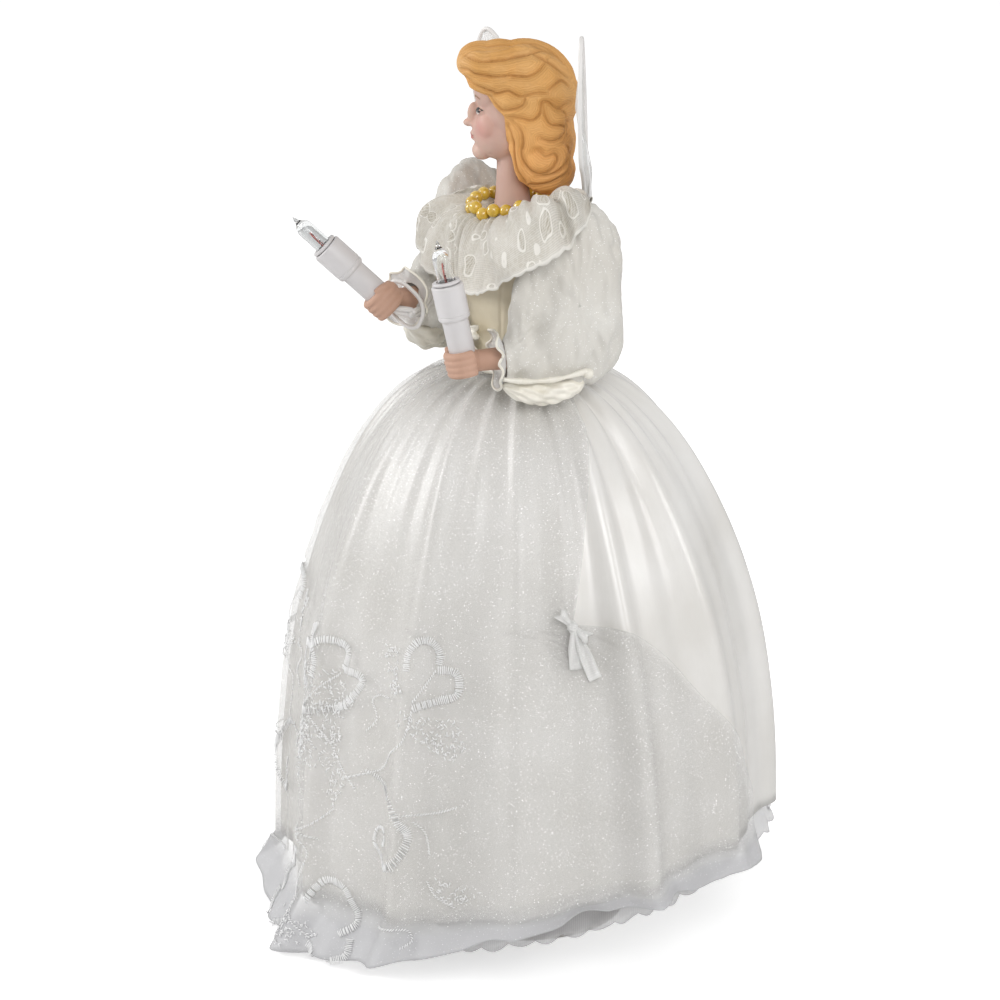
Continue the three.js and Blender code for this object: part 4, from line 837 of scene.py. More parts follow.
hairCut = dict(
    masses=[  # half sizes, then the place from the head's centre
        ((13.0, 15.2, 15.8), (0, 2.0, 2.0)),
        ((11.6, 7.0, 5.8), (0, -10.2, 11.2)),
        ((12.0, 9.0, 7.6), (0, -5.0, 10.0)),
        *twins((4.2, 5.8, 3.8), (7.0, -8.6, 6.8)),
        *twins((4.8, 8.6, 9.5), (9.0, 5.2, -5.0)),
        *twins((5.0, 7.8, 8.6), (7.8, 7.0, -15.4)),
        *twins((3.6, 4.0, 9.0), (8.4, 1.4, -12.4)),
        ((9.8, 7.4, 12.0), (0, 9.0, -10.5)),
        ((9.6, 7.8, 6.8), (0, 8.6, -19.6)),
    ],
    hairline=[  # seen from the side, from over the brow to the neck
        (-40, 9.4), (-18, 9.4), (-15, 8.8), (-13.4, 5.8), (-8.5, 3.6), (-6.3, 0.4), (-3.7, -2.0),
        (-3.4, -5.6), (-3.0, -10.6), (-1.6, -14.0), (-0.8, -18.0), (0.8, -21.6), (3.0, -25.0),
        (3.0, -40), (-40, -40),
    ],
    grooves=[  # seen from the side, each along one parting between locks
        [
            (-17.7, 9.7), (-14.4, 10.9), (-11.5, 9.6), (-6.3, 9.2), (-1, 9.6), (3.0, 9.6), (6.2, 11.2),
            (8.4, 13.9),
        ],
        [(-14.2, 7.9), (-9.8, 5.8), (-6.3, 4.5), (-2.8, 5.4), (0.8, 4.0), (5.1, 4.9), (8.7, 4.5)],
        [(-8, 3.5), (-4.5, -0.1), (-1, 0.3), (1.6, 1.7), (2.1, 4.5)],
        [
            (-2.8, -2.2), (0.8, -2.2), (4.0, -2.6), (6.2, -0.6), (7.0, 2.2), (8.8, 2.2), (11.6, 0.4),
            (14.4, 0.8),
        ],
        [
            (7.0, 1.6), (7.8, -1.8), (9.6, -4.0), (12.6, -4.6), (14.2, -6.0), (12.6, -8.2), (9.5, -9.0),
            (6.4, -8.0),
        ],
        [
            (-1.9, -2.9), (0.8, -5.6), (1.4, -9.3), (1, -12.5), (2.5, -16.2), (5.6, -18.3),
            (9.1, -17.4), (11.3, -14.4), (10.4, -12.5), (7.8, -13), (5.6, -11.6),
        ],
        [(-2.8, -4.7), (-1.4, -9.3), (-1, -13.9), (-0.1, -17.6), (2.1, -21.3)],
        [(-14.6, 17.3), (-8, 16.8), (-1, 18.2), (5.1, 16.8), (11.7, 13.6)],
        [(-16.8, 15), (-9.8, 13.6), (-3.6, 14.1), (1.6, 14.8), (7.8, 15.7), (13.1, 12.3)],
        [(3.8, 15.5), (9.5, 12.3), (14.4, 8.1)],
        [(8.7, 5.4), (12.2, 7.7), (14.6, 5.8)],
        [(5.1, -19), (9.5, -18.5), (13.1, -16.7), (15.7, -13)],
        [(3, -22.2), (8.7, -21.3), (13.9, -19)],
    ],
    depth=0.5,
    width=0.3,
    strand=0.62,
)


def sideOutline(name, outline, half):  # a prism across the head, from an outline seen from the side
    count = len(outline)
    points = [(x, y, z) for x in (-half, half) for y, z in outline]
    faces = [(k, (k + 1) % count, count + (k + 1) % count, count + k) for k in range(count)]
    faces += [tuple(range(count))[::-1], tuple(range(count, 2 * count))]
    obj = meshPiece(name, points, faces)
    faceOutward(obj)
    return obj


def makeHair():
    hair = joinAll("bustHair", [egg(half, place, None, 48, 28) for half, place in hairCut["masses"]])
    remesh(hair, 0.5, 0)
    face = sideOutline("faceCut", hairCut["hairline"], 30)
    carve = hair.modifiers.new("face", "BOOLEAN")
    carve.operation = "DIFFERENCE"
    carve.solver = "EXACT"
    carve.object = face
    applyAll(hair)
    bpy.data.objects.remove(face)
    remesh(hair, 0.3, 9)
    comb(hair)
    placeHead(hair)
    return hair


def readPoints(obj):
    count = len(obj.data.vertices)
    places, normals = np.zeros(count * 3), np.zeros(count * 3)
    obj.data.vertices.foreach_get("co", places)
    obj.data.vertices.foreach_get("normal", normals)
    return places.reshape(-1, 3) / mm, normals.reshape(-1, 3)


# in a flat view: how deep in a parting each point lies, and how far from one
def partings(points, lines, width):
    deep, best = np.zeros(len(points)), np.full(len(points), 1e9)
    for line in lines:
        count = 14 * len(line)
        for spot, taper in zip(spline(line, count), np.sin(pi * (np.arange(count) + 0.5) / count) ** 0.45):
            apart = (points[:, 0] - spot[0]) ** 2 + (points[:, 1] - spot[1]) ** 2
            best = np.minimum(best, apart)
            deep = np.maximum(deep, taper * np.exp(-apart / width**2))
    return deep, np.sqrt(best)


def comb(obj):  # cuts the partings, lays fine strands beside them, and keeps how deep each point lies for the painted shade in the partings
    places, normals = readPoints(obj)
    side = smoothStep(np.abs(normals[:, 0]), 0.15, 0.45)
    behind = smoothStep(normals[:, 1], 0.2, 0.6) * (1 - side)
    above = smoothStep(normals[:, 2], 0.3, 0.7) * (1 - side) * (1 - behind)
    seen = places[:, 1:] + np.where(places[:, :1] > 0, 0.0, 0.5)
    deep, apart = partings(seen, hairCut["grooves"], hairCut["width"])
    wave = places[:, 0] + 1.1 * np.sin(0.42 * places[:, 2] + 0.3 * places[:, 0])
    apartBehind = np.abs((wave + 1.7) % 3.4 - 1.7)
    apartAbove = np.abs((places[:, 0] + 0.8 * np.sin(0.3 * places[:, 1]) + 1.6) % 3.2 - 1.6)
    paintedGrooveShade, move, strand = np.zeros(len(places)), np.zeros(len(places)), np.zeros(len(places))
    for share, gap, cut in ((side, apart, deep), (behind, apartBehind, None), (above, apartAbove, None)):
        cut = np.exp(-((gap / hairCut["width"]) ** 2)) * 0.8 if cut is None else cut
        valley = np.exp(-((gap / 1.3) ** 2))
        move += share * (hairCut["depth"] * cut + 0.8 * valley - 0.4)
        paintedGrooveShade += share * (0.75 * cut + 0.25 * valley)
        strand += share * gap
    places -= normals * move[:, None]
    obj.data.vertices.foreach_set("co", (places * mm).ravel())
    obj.data.update()
    for label, values in (("paintedGrooveShade", np.clip(paintedGrooveShade, 0, 1)), ("strand", strand)):
        obj.data.attributes.new(label, "FLOAT", "POINT").data.foreach_set("value", values)
    smooth(obj)


def hairMaterial():
    tones = dict(
        dark=(0.38, 0.17, 0.04), mid=(0.66, 0.335, 0.09), light=(0.75, 0.42, 0.15), low=(0.86, 0.43, 0.14)
    )
    material, tree, shader, places = newMaterial("paintedHair", 0.62)
    drift = useGroup(tree, driftGroup, Vector=places.outputs["Object"], Scale=130.0)
    colour = blendColour(tree, drift.outputs[0], tones["mid"], tones["light"])
    height = put(tree, "ShaderNodeSeparateXYZ", None, Vector=places.outputs["Object"]).outputs[2]
    # lighter and more orange lower down: painted light that lifts the shade at the back of the neck
    colour = blendColour(tree, ramp(tree, height, 0.246, 0.222), colour, tones["low"])
    # the partings and the fine strand lines are painted darker: painted shade in the grooves
    paintedGrooveShade = put(tree, "ShaderNodeAttribute", {"attribute_name": "paintedGrooveShade"})
    strand = put(tree, "ShaderNodeAttribute", {"attribute_name": "strand"})
    fine = put(tree, "ShaderNodeTexNoise", None, Vector=places.outputs["Object"], Scale=260.0, Detail=2.0)
    across = calc(tree, "MULTIPLY_ADD", fine.outputs[0], 0.9, strand.outputs["Fac"])
    lines = calc(tree, "SINE", calc(tree, "MULTIPLY", across, 2 * pi / hairCut["strand"]))
    shade = calc(
        tree, "MULTIPLY_ADD", paintedGrooveShade.outputs["Fac"], 0.75, calc(tree, "MULTIPLY_ADD", lines, 0.07, 0.07)
    )
    colour = blendColour(tree, shade, colour, tones["dark"])
    tree.links.new(colour, shader.inputs["Base Color"])
    tree.links.new(ramp(tree, shade, 0, 1, 0.58, 0.75), shader.inputs["Roughness"])
    setBump(tree, shader, lines, 0.3, 0.00025)
    return material


# Painted features: thin patches laid on the skin, on a doll's usual proportions

faceCut = dict(eye=(4.1, -1.9), eyeHalf=(1.75, 0.85), iris=0.74, pupil=0.34, brow=1.7, lips=-9.5)


def facePatch(name, skinTree, outline, material, lift):  # outline seen from the front
    count = len(outline)
    middle = np.mean(outline, axis=0)
    points = []
    for share in (0.0, 0.35, 0.7, 1.0):
        for x, z in (outline if share else outline[:1]):
            spot = Vector((middle[0] + (x - middle[0]) * share, -40, middle[1] + (z - middle[1]) * share))
            begin, finish = headToWorld([spot, spot + Vector((0, 60, 0))])
            hit, normal = skinTree.ray_cast(begin * mm, (finish - begin).normalized())[:2]
            points.append(np.array(hit + normal * lift * mm) / mm)
    faces = [(0, 1 + k, 1 + (k + 1) % count) for k in range(count)]
    for ring in range(2):
        a, b = 1 + ring * count, 1 + (ring + 1) * count
        faces += [(a + k, b + k, b + (k + 1) % count, a + (k + 1) % count) for k in range(count)]
    return dress(meshPiece(name, points, faces), material, "gown", "bisque")


def oval(centre, half, count=28, droop=0.0):
    return [
        (centre[0] + half[0] * cos(a), centre[1] + half[1] * sin(a) - droop * cos(a) ** 2)
        for a in np.linspace(0, 2 * pi, count, endpoint=False)
    ]


def bandOutline(line, widths):  # a tapering stroke along a line
    line, widths = np.array(line, float), np.array(widths, float)
    return [tuple(p + (0, w)) for p, w in zip(line, widths)] + [
        tuple(p - (0, w)) for p, w in zip(line[::-1], widths[::-1])
    ]


def paintFace():
    white = plainMaterial("eyeWhite", ((0.72, 0.68, 0.64), (0.78, 0.75, 0.72)), 0.3, 400.0)
    brown = plainMaterial("eyeBrown", ((0.07, 0.035, 0.02), (0.12, 0.06, 0.03)), 0.25, 900.0)
    black = plainMaterial("eyeBlack", ((0.012, 0.01, 0.01), (0.02, 0.016, 0.015)), 0.25, 900.0)
    browPaint = plainMaterial("browPaint", ((0.27, 0.14, 0.07), (0.34, 0.19, 0.1)), 0.6, 900.0)
    lipPaint = plainMaterial("lipPaint", ((0.50, 0.17, 0.15), (0.56, 0.22, 0.19)), 0.45, 500.0)
    skinTree = surfaceTree(bustSkin)
    for name, side in (("left", 1), ("right", -1)):
        x, z = side * faceCut["eye"][0], faceCut["eye"][1]
        a, b = faceCut["eyeHalf"]
        facePatch(name + "EyeWhite", skinTree, oval((x, z), (a, b), droop=0.1), white, 0.05)
        facePatch(name + "Iris", skinTree, oval((x, z + 0.05), (faceCut["iris"],) * 2), brown, 0.09)
        facePatch(name + "Pupil", skinTree, oval((x, z + 0.05), (faceCut["pupil"],) * 2), black, 0.12)
        facePatch(name + "EyeGlint", skinTree, oval((x + 0.25, z + 0.32), (0.14, 0.14), 12), white, 0.15)
        lid = [(x - side * a * 1.05 * cos(t), z + 0.1 + b * sin(t)) for t in np.linspace(0.15, pi + 0.1, 14)]
        facePatch(
            name + "Lashes", skinTree,
            bandOutline(lid, np.interp(np.linspace(0, 1, 14), (0, 0.6, 1), (0.1, 0.2, 0.24))), black,
            0.13,
        )
        brow = [
            (x - side * 2.3 * cos(t), faceCut["brow"] + 0.75 * sin(t))
            for t in np.linspace(0.1, pi - 0.2, 14)
        ]
        facePatch(
            name + "Brow", skinTree,
            bandOutline(brow, 0.2 * np.sin(np.linspace(0.5, pi - 0.1, 14)) + 0.03), browPaint, 0.05,
        )
    mouth = np.linspace(-1, 1, 17)
    upper = [(2.3 * s, faceCut["lips"] + 0.1 - 0.1 * s * s) for s in mouth]
    full = 0.55 * (1 - mouth**2) ** 0.6 + 0.04
    facePatch(
        "upperLip", skinTree,
        bandOutline([(x, z + 0.42 * w) for (x, z), w in zip(upper, full)], 0.75 * full), lipPaint, 0.05,
    )
    lower = [(2.0 * s, faceCut["lips"] - 0.55 + 0.2 * s * s) for s in mouth]
    facePatch("lowerLip", skinTree, bandOutline(lower, 0.62 * full), lipPaint, 0.05)


def surfaceTree(obj):
    return BVHTree.FromPolygons(
        [v.co.copy() for v in obj.data.vertices], [tuple(p.vertices) for p in obj.data.polygons]
    )


bustSkin = makeSkin()
paintSkin(bustSkin)
dress(bustSkin, skinMaterial(), "gown", "bisque", "bust")
paintFace()
bustHair = makeHair()
dress(bustHair, hairMaterial(), "gown", "bisque")
print("stage: head and hair", len(bustSkin.data.polygons), len(bustHair.data.polygons))

# Places on the arms, in millimetres

armPlans = dict(
    left=dict(
        side=1, elbow=(33.0, 6.0, 178.0), hand=(22.7, -29.8, 176.0), axis=(-0.1, -0.19, 0.976),
        cuffDrop=0.0,
    ),
    right=dict(
        side=-1, elbow=(-33.0, 4.0, 180.0), hand=(-18.2, -34.2, 185.2), axis=(-0.343, -0.648, 0.68),
        cuffDrop=2.0,
    ),
)
wristBack = 11.2  # from the middle of the hand
for plan in armPlans.values():
    plan["elbow"], plan["hand"] = np.array(plan["elbow"]), np.array(plan["hand"])
    plan["reach"] = unit(plan["hand"] - plan["elbow"])
    plan["axis"] = unit(plan["axis"])
    plan["wrist"] = plan["hand"] - wristBack * plan["reach"]
shoulder = dict(halfWidth=29.0, z=206.0, inner=19.45, gownFront=-16.2)


def leadPath(name):
    plan = armPlans[name]
    side, hand, wrist, reach, axis = (plan[key] for key in ("side", "hand", "wrist", "reach", "axis"))
    beside = -6.6 * side
    inner = side * 19.3
    return np.array([
        hand - 2.3 * axis,
        hand - 3.8 * axis,
        hand - 2.0 * axis - 5.6 * reach + (0.75 * beside, 0, -1.5),
        wrist + 3.6 * reach + (beside, 0, -3),
        wrist - 2.0 * reach + (beside, 0, -1),
        (inner + side * 2.7, wrist[1] * 0.55, shoulder["z"] + (wrist[2] - shoulder["z"]) * 0.8),
        (inner + side * 4.7, -6, 198),
        (inner + side * 2.7, -5, 202),
        (inner + side * 0.3, -5, 202),
    ])


# Bodice with its sash and bow

bodiceCut = dict(
    foot=167.0, top=203.8, waist=13.8, chestWidth=17.8, chestDepth=14.6, seams=(-128, -52, 52, 128),
    flat=(0.106, 0.037),
)


def bodicePoint(angle, z, grow):
    fit = smoothStep(z, bodiceCut["foot"], 199.0)
    width = bodiceCut["waist"] + (bodiceCut["chestWidth"] - bodiceCut["waist"]) * fit + grow
    depth = bodiceCut["waist"] + (bodiceCut["chestDepth"] - bodiceCut["waist"]) * fit + grow
    return np.stack([width * np.cos(angle), depth * np.sin(angle), z + 0 * angle], -1)


def makeBodice():
    columns, rows = 240, 60
    angle = around(columns, -pi)
    z = np.linspace(bodiceCut["foot"], bodiceCut["top"], rows)[:, None]
    grow = (
        0.45 + 0.12 * np.sin(9 * angle + 0.35 * z) * np.cos(0.21 * z + 2 * angle)
        + 0.08 * np.sin(1.4 * z + 5 * angle)
    )
    for seam in bodiceCut["seams"]:
        apart = np.degrees(angle) - seam - 0.4 * (z - 185) * np.sign(np.sin(np.radians(seam))) * 0.1
        grow = grow - 0.3 * np.exp(-((apart / 1.6) ** 2))
    obj = clothGrid("bodiceCover", bodicePoint(angle + 0 * z, z + 0 * angle, grow), True, 105, 38)
    thicken(obj, 0.3)
    return dress(obj, bodiceCloth, "gown", "satin", "bodice")


def makeSash():
    columns, rows = 200, 30
    angle = around(columns, -pi)
    share = np.linspace(0, 1, rows)[:, None]
    z = bodiceCut["foot"] + 0.1 + 4.4 * share + 0.25 * np.sin(3 * angle + 1)
    pleat = np.abs(np.sin(pi * (3 * share + 0.15 * np.sin(4 * angle))))
    grow = 1.15 + 0.65 * pleat + 0.12 * np.sin(31 * angle + 6 * share)
    obj = clothGrid("waistSash", bodicePoint(angle + 0 * share, z, grow), True, 100, 9)
    thicken(obj, 0.3)
    return dress(obj, ribbonSatin, "gown", "satin", "waist_sash")


# a strip along a path, with its width direction given at each point
def ribbonStrip(name, path, widths, across, uSize, wave=0.0):
    cols = 9
    share = np.linspace(-0.5, 0.5, cols)
    places = zip(np.array(path, float), np.array(across, float), widths)
    grid = np.array([[p + a * w * s for s in share] for p, a, w in places])
    if wave:
        normal = unitRows(np.cross(np.gradient(grid, axis=0), np.gradient(grid, axis=1)))
        steps = np.linspace(0, 1, len(path))[:, None]
        swing = wave * np.cos(2.6 * pi * share[None, :] + 5 * steps) * np.sin(pi * steps) ** 0.5
        grid = grid + normal * swing[..., None]
    obj = clothGrid(name, grid, False, uSize, 6)
    thicken(obj, 0.25, 0.0)
    return obj


def makeBow(name, centre, out, up, loop, tail, width, tails, lift):
    side = unit(np.cross(up, out))
    pieces = []
    t = np.linspace(0, 1, 40)
    for sign, angle in ((1, loop["angles"][0]), (-1, loop["angles"][1])):
        ahead = sign * side * cos(angle) + up * sin(angle)
        cross = unit(np.cross(out, ahead))
        reach = loop["length"] * np.sin(pi * t) ** 0.8
        rise = lift + loop["height"] * (np.sin(2 * pi * t) * 0.5 + 0.35 * np.sin(pi * t))
        path = centre + reach[:, None] * ahead + rise[:, None] * out
        widths = width * (0.32 + 0.68 * np.sin(pi * t) ** 1.3)
        pieces.append(ribbonStrip(name + "Loop", path, widths, np.tile(cross, (40, 1)), 30, 0.5))
    t = np.linspace(0, 1, 34)
    for angle, length in tails:
        ahead = -up * cos(angle) + side * sin(angle)
        cross = unit(np.cross(out, ahead))
        rise = lift * (1 - t) + 0.7 + 1.1 * np.sin(5 * t + 3 * angle) * t
        path = centre + (length * tail * t)[:, None] * ahead + rise[:, None] * out
        widths = width * (0.35 + 0.65 * smoothStep(t, 0, 0.6))
        pieces.append(ribbonStrip(name + "Tail", path, widths, np.tile(cross, (34, 1)), 20, 0.45))
    ball = egg((width * 0.42, width * 0.46, width * 0.36), (0, 0, 0), None, 28, 18)
    for vert in ball.data.vertices:
        p = vert.co / mm
        vert.co *= 1 + 0.09 * cos(7 * p.y + 2 * p.x)
    frameTurn = Matrix((tuple(side), tuple(up), tuple(out))).transposed().to_4x4()
    ball.matrix_world = Matrix.Translation(Vector(centre + lift * out) * mm) @ frameTurn
    settle(ball)
    layer = ball.data.uv_layers.active or ball.data.uv_layers.new(name="cloth")
    layer.name = "cloth"
    smooth(ball)
    pieces.append(ball)
    return joinAll(name, pieces)


bodiceCover = makeBodice()
waistSash = makeSash()
chestBow = makeBow(
    "chestBow",
    np.array((0, -15.9, 178.0)),
    np.array((0.0, -1.0, 0.0)),
    np.array((0.0, 0.0, 1.0)),
    dict(angles=(0.2, 0.25), length=6.2, height=2.2),
    8.0,
    4.2,
    [(0.35, 0.9), (-0.3, 1.0)],
    1.0,
)
dress(chestBow, ribbonSatin, "gown", "satin", "chest_bow")


# Lace collar and pearls

collarFront = [(0, -9.2, 211.4), (0, -13.6, 210.6), (0, -17.4, 208.0), (0, -20.2, 202.0), (0, -21.4, 191.8)]
collarBack = [(0, 9.2, 212.0), (0, 11.6, 210.4), (0, 13.8, 207.6), (0, 15.0, 205.2), (0, 15.4, 203.0)]
collarStations = dict(  # front middle to back middle, each from the neck to the edge
    left=[
        collarFront,
        [
            (4, -8.6, 211.5), (6.4, -12.6, 210.8), (9.4, -16.4, 208.4), (11.8, -19.0, 202.4),
            (13.0, -20.4, 192.4),
        ],
        [
            (6.8, -6.4, 211.9), (11.0, -10.2, 211.8), (16.4, -15.0, 210.4), (21.5, -18.8, 205.4),
            (24.5, -20.4, 197.2),
        ],
        [
            (8.4, -4.0, 212.0), (13.6, -7.0, 213.4), (21.5, -11.5, 216.2), (30.0, -15.2, 213.2),
            (35.0, -16.4, 203.4),
        ],
        [
            (9.0, -1.6, 212.0), (14.4, -2.6, 213.6), (22.0, -5.0, 218.2), (32.5, -8.0, 219.6),
            (40.6, -9.5, 208.4),
        ],
        [(9.2, 1.4, 212.0), (14.2, 1.6, 213.6), (21.5, 1.0, 218.0), (30.6, 0.8, 221.8), (38.4, 0.4, 216.2)],
        [(8.0, 4.6, 212.0), (11.4, 6.0, 212.4), (16.0, 6.8, 214.4), (21.5, 7.0, 217.0), (27.0, 7.0, 218.6)],
        [
            (5.6, 7.4, 212.0), (8.4, 9.6, 210.6), (11.6, 11.4, 208.0), (14.4, 12.6, 205.4),
            (16.4, 13.0, 202.8),
        ],
        collarBack,
    ],
    right=[  # laid lower, in front of the sleeve
        collarFront,
        [
            (-4, -8.6, 211.5), (-6.4, -12.6, 210.8), (-9.4, -16.4, 208.4), (-11.8, -19.0, 202.4),
            (-13.0, -20.4, 192.4),
        ],
        [
            (-6.8, -6.4, 211.9), (-10.6, -10.2, 211.4), (-15.4, -15.0, 209.4), (-19.8, -18.8, 204.4),
            (-22.0, -20.4, 196.0),
        ],
        [
            (-8.4, -4.0, 212.0), (-13.0, -7.4, 212.0), (-18.5, -12.5, 211.2), (-24.0, -16.6, 207.6),
            (-27.5, -18.2, 199.5),
        ],
        [
            (-9.0, -1.6, 212.0), (-13.0, -3.4, 212.0), (-17.0, -7.6, 212.2), (-20.5, -12.0, 212.2),
            (-24.0, -16.0, 210.0),
        ],
        [
            (-9.2, 1.4, 212.0), (-12.4, 0.8, 212.2), (-15.0, -1.0, 212.6), (-17.0, -3.0, 213.2),
            (-18.4, -5.0, 214.0),
        ],
        [
            (-8.0, 4.6, 212.0), (-10.8, 6.2, 211.2), (-13.6, 7.8, 209.6), (-15.8, 8.4, 207.4),
            (-17.0, 8.7, 205.2),
        ],
        [
            (-5.6, 7.4, 212.0), (-8.4, 9.6, 210.6), (-11.4, 11.1, 208.0), (-13.6, 12.0, 205.2),
            (-14.8, 12.2, 203.0),
        ],
        collarBack,
    ],
)


def gridNormals(grid):
    over = np.roll(grid, -1, 1) - np.roll(grid, 1, 1)
    return unitRows(np.cross(np.gradient(grid, axis=0), over))


def makeCollar():  # two halves that meet at the front and back middle
    half, rows, flutes = 260, 40, 12
    sides = []
    for stations in collarStations.values():
        bands = np.array([spline(np.array(stations, float)[:, k], half) for k in range(5)])
        sides.append(np.array([spline(bands[:, j], rows) for j in range(half)]).transpose(1, 0, 2))
    grid = np.concatenate([sides[0], sides[1][:, -2:0:-1]], 1)
    edge = grid[-1]
    steps = np.linalg.norm(np.roll(edge, -1, 0) - edge, axis=1)
    along = np.cumsum(steps) / steps.sum()
    t = np.linspace(0, 1, rows)[:, None]
    normal = gridNormals(grid)
    if normal[rows // 2, 0, 1] > 0:
        normal = -normal
    turn = 2 * pi * flutes * along + 2.4 * np.sin(6 * pi * along) + 1.1 * np.sin(16 * pi * along)
    fold = np.cos(turn + 2.2 * np.sin(2.2 * t + 4 * pi * along)) + 0.5 * np.cos(1.7 * turn - 3 * t + 1)
    puff = np.sin(pi * np.clip(1.35 * t - 0.2, 0, 1)) * (0.7 + 0.5 * np.cos(0.5 * turn + 1))
    gather = (
        0.55 * np.cos(2 * pi * 36 * along + 3 * np.sin(8 * pi * along)) * smoothStep(t, 0, 0.15)
        * (1 - smoothStep(t, 0.4, 0.95))
    )
    grid = grid + normal * (1.15 * smoothStep(t, 0.15, 0.55) * fold + gather + 1.5 * puff + 0.6)[..., None]
    fall = grid[-1] - grid[-2]
    scallop = np.abs(np.sin(2 * pi * 24 * along))[:, None]
    grid[-1] = grid[-1] + fall * (0.2 + 0.9 * scallop)
    grid[-2] = grid[-2] + fall * 0.4 * scallop
    halves = dict(left=grid[:, :half], right=np.concatenate([grid[:, half - 1 :], grid[:, :1]], 1))
    pieces = []
    for side, (name, cloth) in zip((1, -1), halves.items()):
        obj = clothGrid(name + "LaceCollar", cloth, False, steps.sum() / 2, 34)
        thicken(obj, 0.18, 0.0)
        obj.data.materials.append(laceCloth)
        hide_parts("lace_collar")
        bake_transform(obj)
        pieces.append(obj)
    return pieces


def laceMaterial():  # fine net with corded leaves, barred inside, all from the cloth's own map
    tones = dict(
        ground=(0.60, 0.565, 0.49), light=(0.70, 0.665, 0.60), cord=(0.77, 0.745, 0.69),
        window=(0.50, 0.455, 0.37),
    )
    material, tree, shader, places = newMaterial("creamLace", 0.65, Sheen_Weight=0.2)
    cloth = places.outputs["UV"]
    drift = useGroup(tree, driftGroup, Vector=places.outputs["Object"], Scale=140.0)
    ground = blendColour(tree, drift.outputs[0], tones["ground"], tones["light"])
    bend = put(tree, "ShaderNodeTexNoise", None, Vector=cloth, Scale=1.1)
    warped = put(
        tree, "ShaderNodeVectorMath", {"operation": "MULTIPLY_ADD"}, i0=bend.outputs["Color"],
        i1=(0.7, 0.7, 0), i2=cloth,
    )
    leaf = put(tree, "ShaderNodeTexVoronoi", None, Vector=warped.outputs[0], Scale=2.0, Randomness=0.7)
    outline = ramp(
        tree, calc(tree, "ABSOLUTE", calc(tree, "SUBTRACT", leaf.outputs["Distance"], 0.4)), 0.05, 0.03
    )
    axes = put(tree, "ShaderNodeSeparateXYZ", None, Vector=warped.outputs[0])
    wave = calc(
        tree, "SINE", calc(tree, "MULTIPLY", calc(tree, "ADD", axes.outputs[0], axes.outputs[1]), 60.0)
    )
    within = calc(tree, "LESS_THAN", leaf.outputs["Distance"], 0.36)
    ground = blendColour(tree, within, ground, tones["window"])
    bars = calc(tree, "MULTIPLY", ramp(tree, wave, -0.2, 0.4), within)
    net = useGroup(tree, weaveGroup, Vector=cloth, Threads=26.0, Slub=0.2)
    edge = ramp(tree, put(tree, "ShaderNodeSeparateXYZ", None, Vector=cloth).outputs[1], 3.15, 3.25)
    cells = put(
        tree, "ShaderNodeTexVoronoi", {"feature": "DISTANCE_TO_EDGE"}, Vector=warped.outputs[0],
        Scale=8.0, Randomness=0.7,
    )
    mesh = calc(tree, "MULTIPLY", ramp(tree, cells.outputs["Distance"], 0.14, 0.05), 0.5)
    worked = calc(tree, "MAXIMUM", calc(tree, "MAXIMUM", outline, edge), calc(tree, "MULTIPLY", bars, 0.7))
    worked = calc(tree, "MAXIMUM", worked, mesh)
    tree.links.new(blendColour(tree, worked, ground, tones["cord"]), shader.inputs["Base Color"])
    cover = calc(tree, "MAXIMUM", calc(tree, "MULTIPLY_ADD", net.outputs["Height"], 0.3, 0.84), worked)
    tree.links.new(cover, shader.inputs["Alpha"])
    setBump(tree, shader, calc(tree, "MULTIPLY_ADD", net.outputs["Height"], 0.3, worked), 0.35, 0.0003)
    return material


def makePearls():
    necklace = dict(count=22, radius=1.95, side=11.9, front=14.4, back=12.0)
    lace = [surfaceTree(half) for half in laceCollar]
    centres = []
    for i in range(necklace["count"]):
        angle = 2 * pi * (i + 0.5) / necklace["count"]
        y = (necklace["back"] if sin(angle) > 0 else necklace["front"]) * sin(angle)
        x = necklace["side"] * cos(angle)
        hits = [tree.ray_cast(Vector((x, y, 230)) * mm, Vector((0, 0, -1)))[0] for tree in lace]
        top = max(hit.z for hit in hits if hit)
        centres.append(np.array((x, y, top / mm + 1.6)))
    parts = [
        egg((necklace["radius"],) * 3, centre, Quaternion((0, 0, 1), 0.7 * i), 28, 18)
        for i, centre in enumerate(centres)
    ]
    string = tubePiece("string", spline(centres, 88, True), 0.35, 6, loop=True)
    obj = joinAll("pearlNecklace", parts + [string])
    smooth(obj)
    return dress(obj, pearlPaint, "gown", "pearl", "pearl_necklace")


laceCloth = laceMaterial()
laceCollar = makeCollar()
makePearls()
print("stage: bodice, collar and pearls")


# Sleeves and cuffs

armhole = dict(within=21, radius=5.2)


def rounded(ring):  # a closed ring of points without its corners
    waves = np.fft.rfft(ring, axis=0)
    waves[3:] = 0
    return np.fft.irfft(waves, len(ring), axis=0)


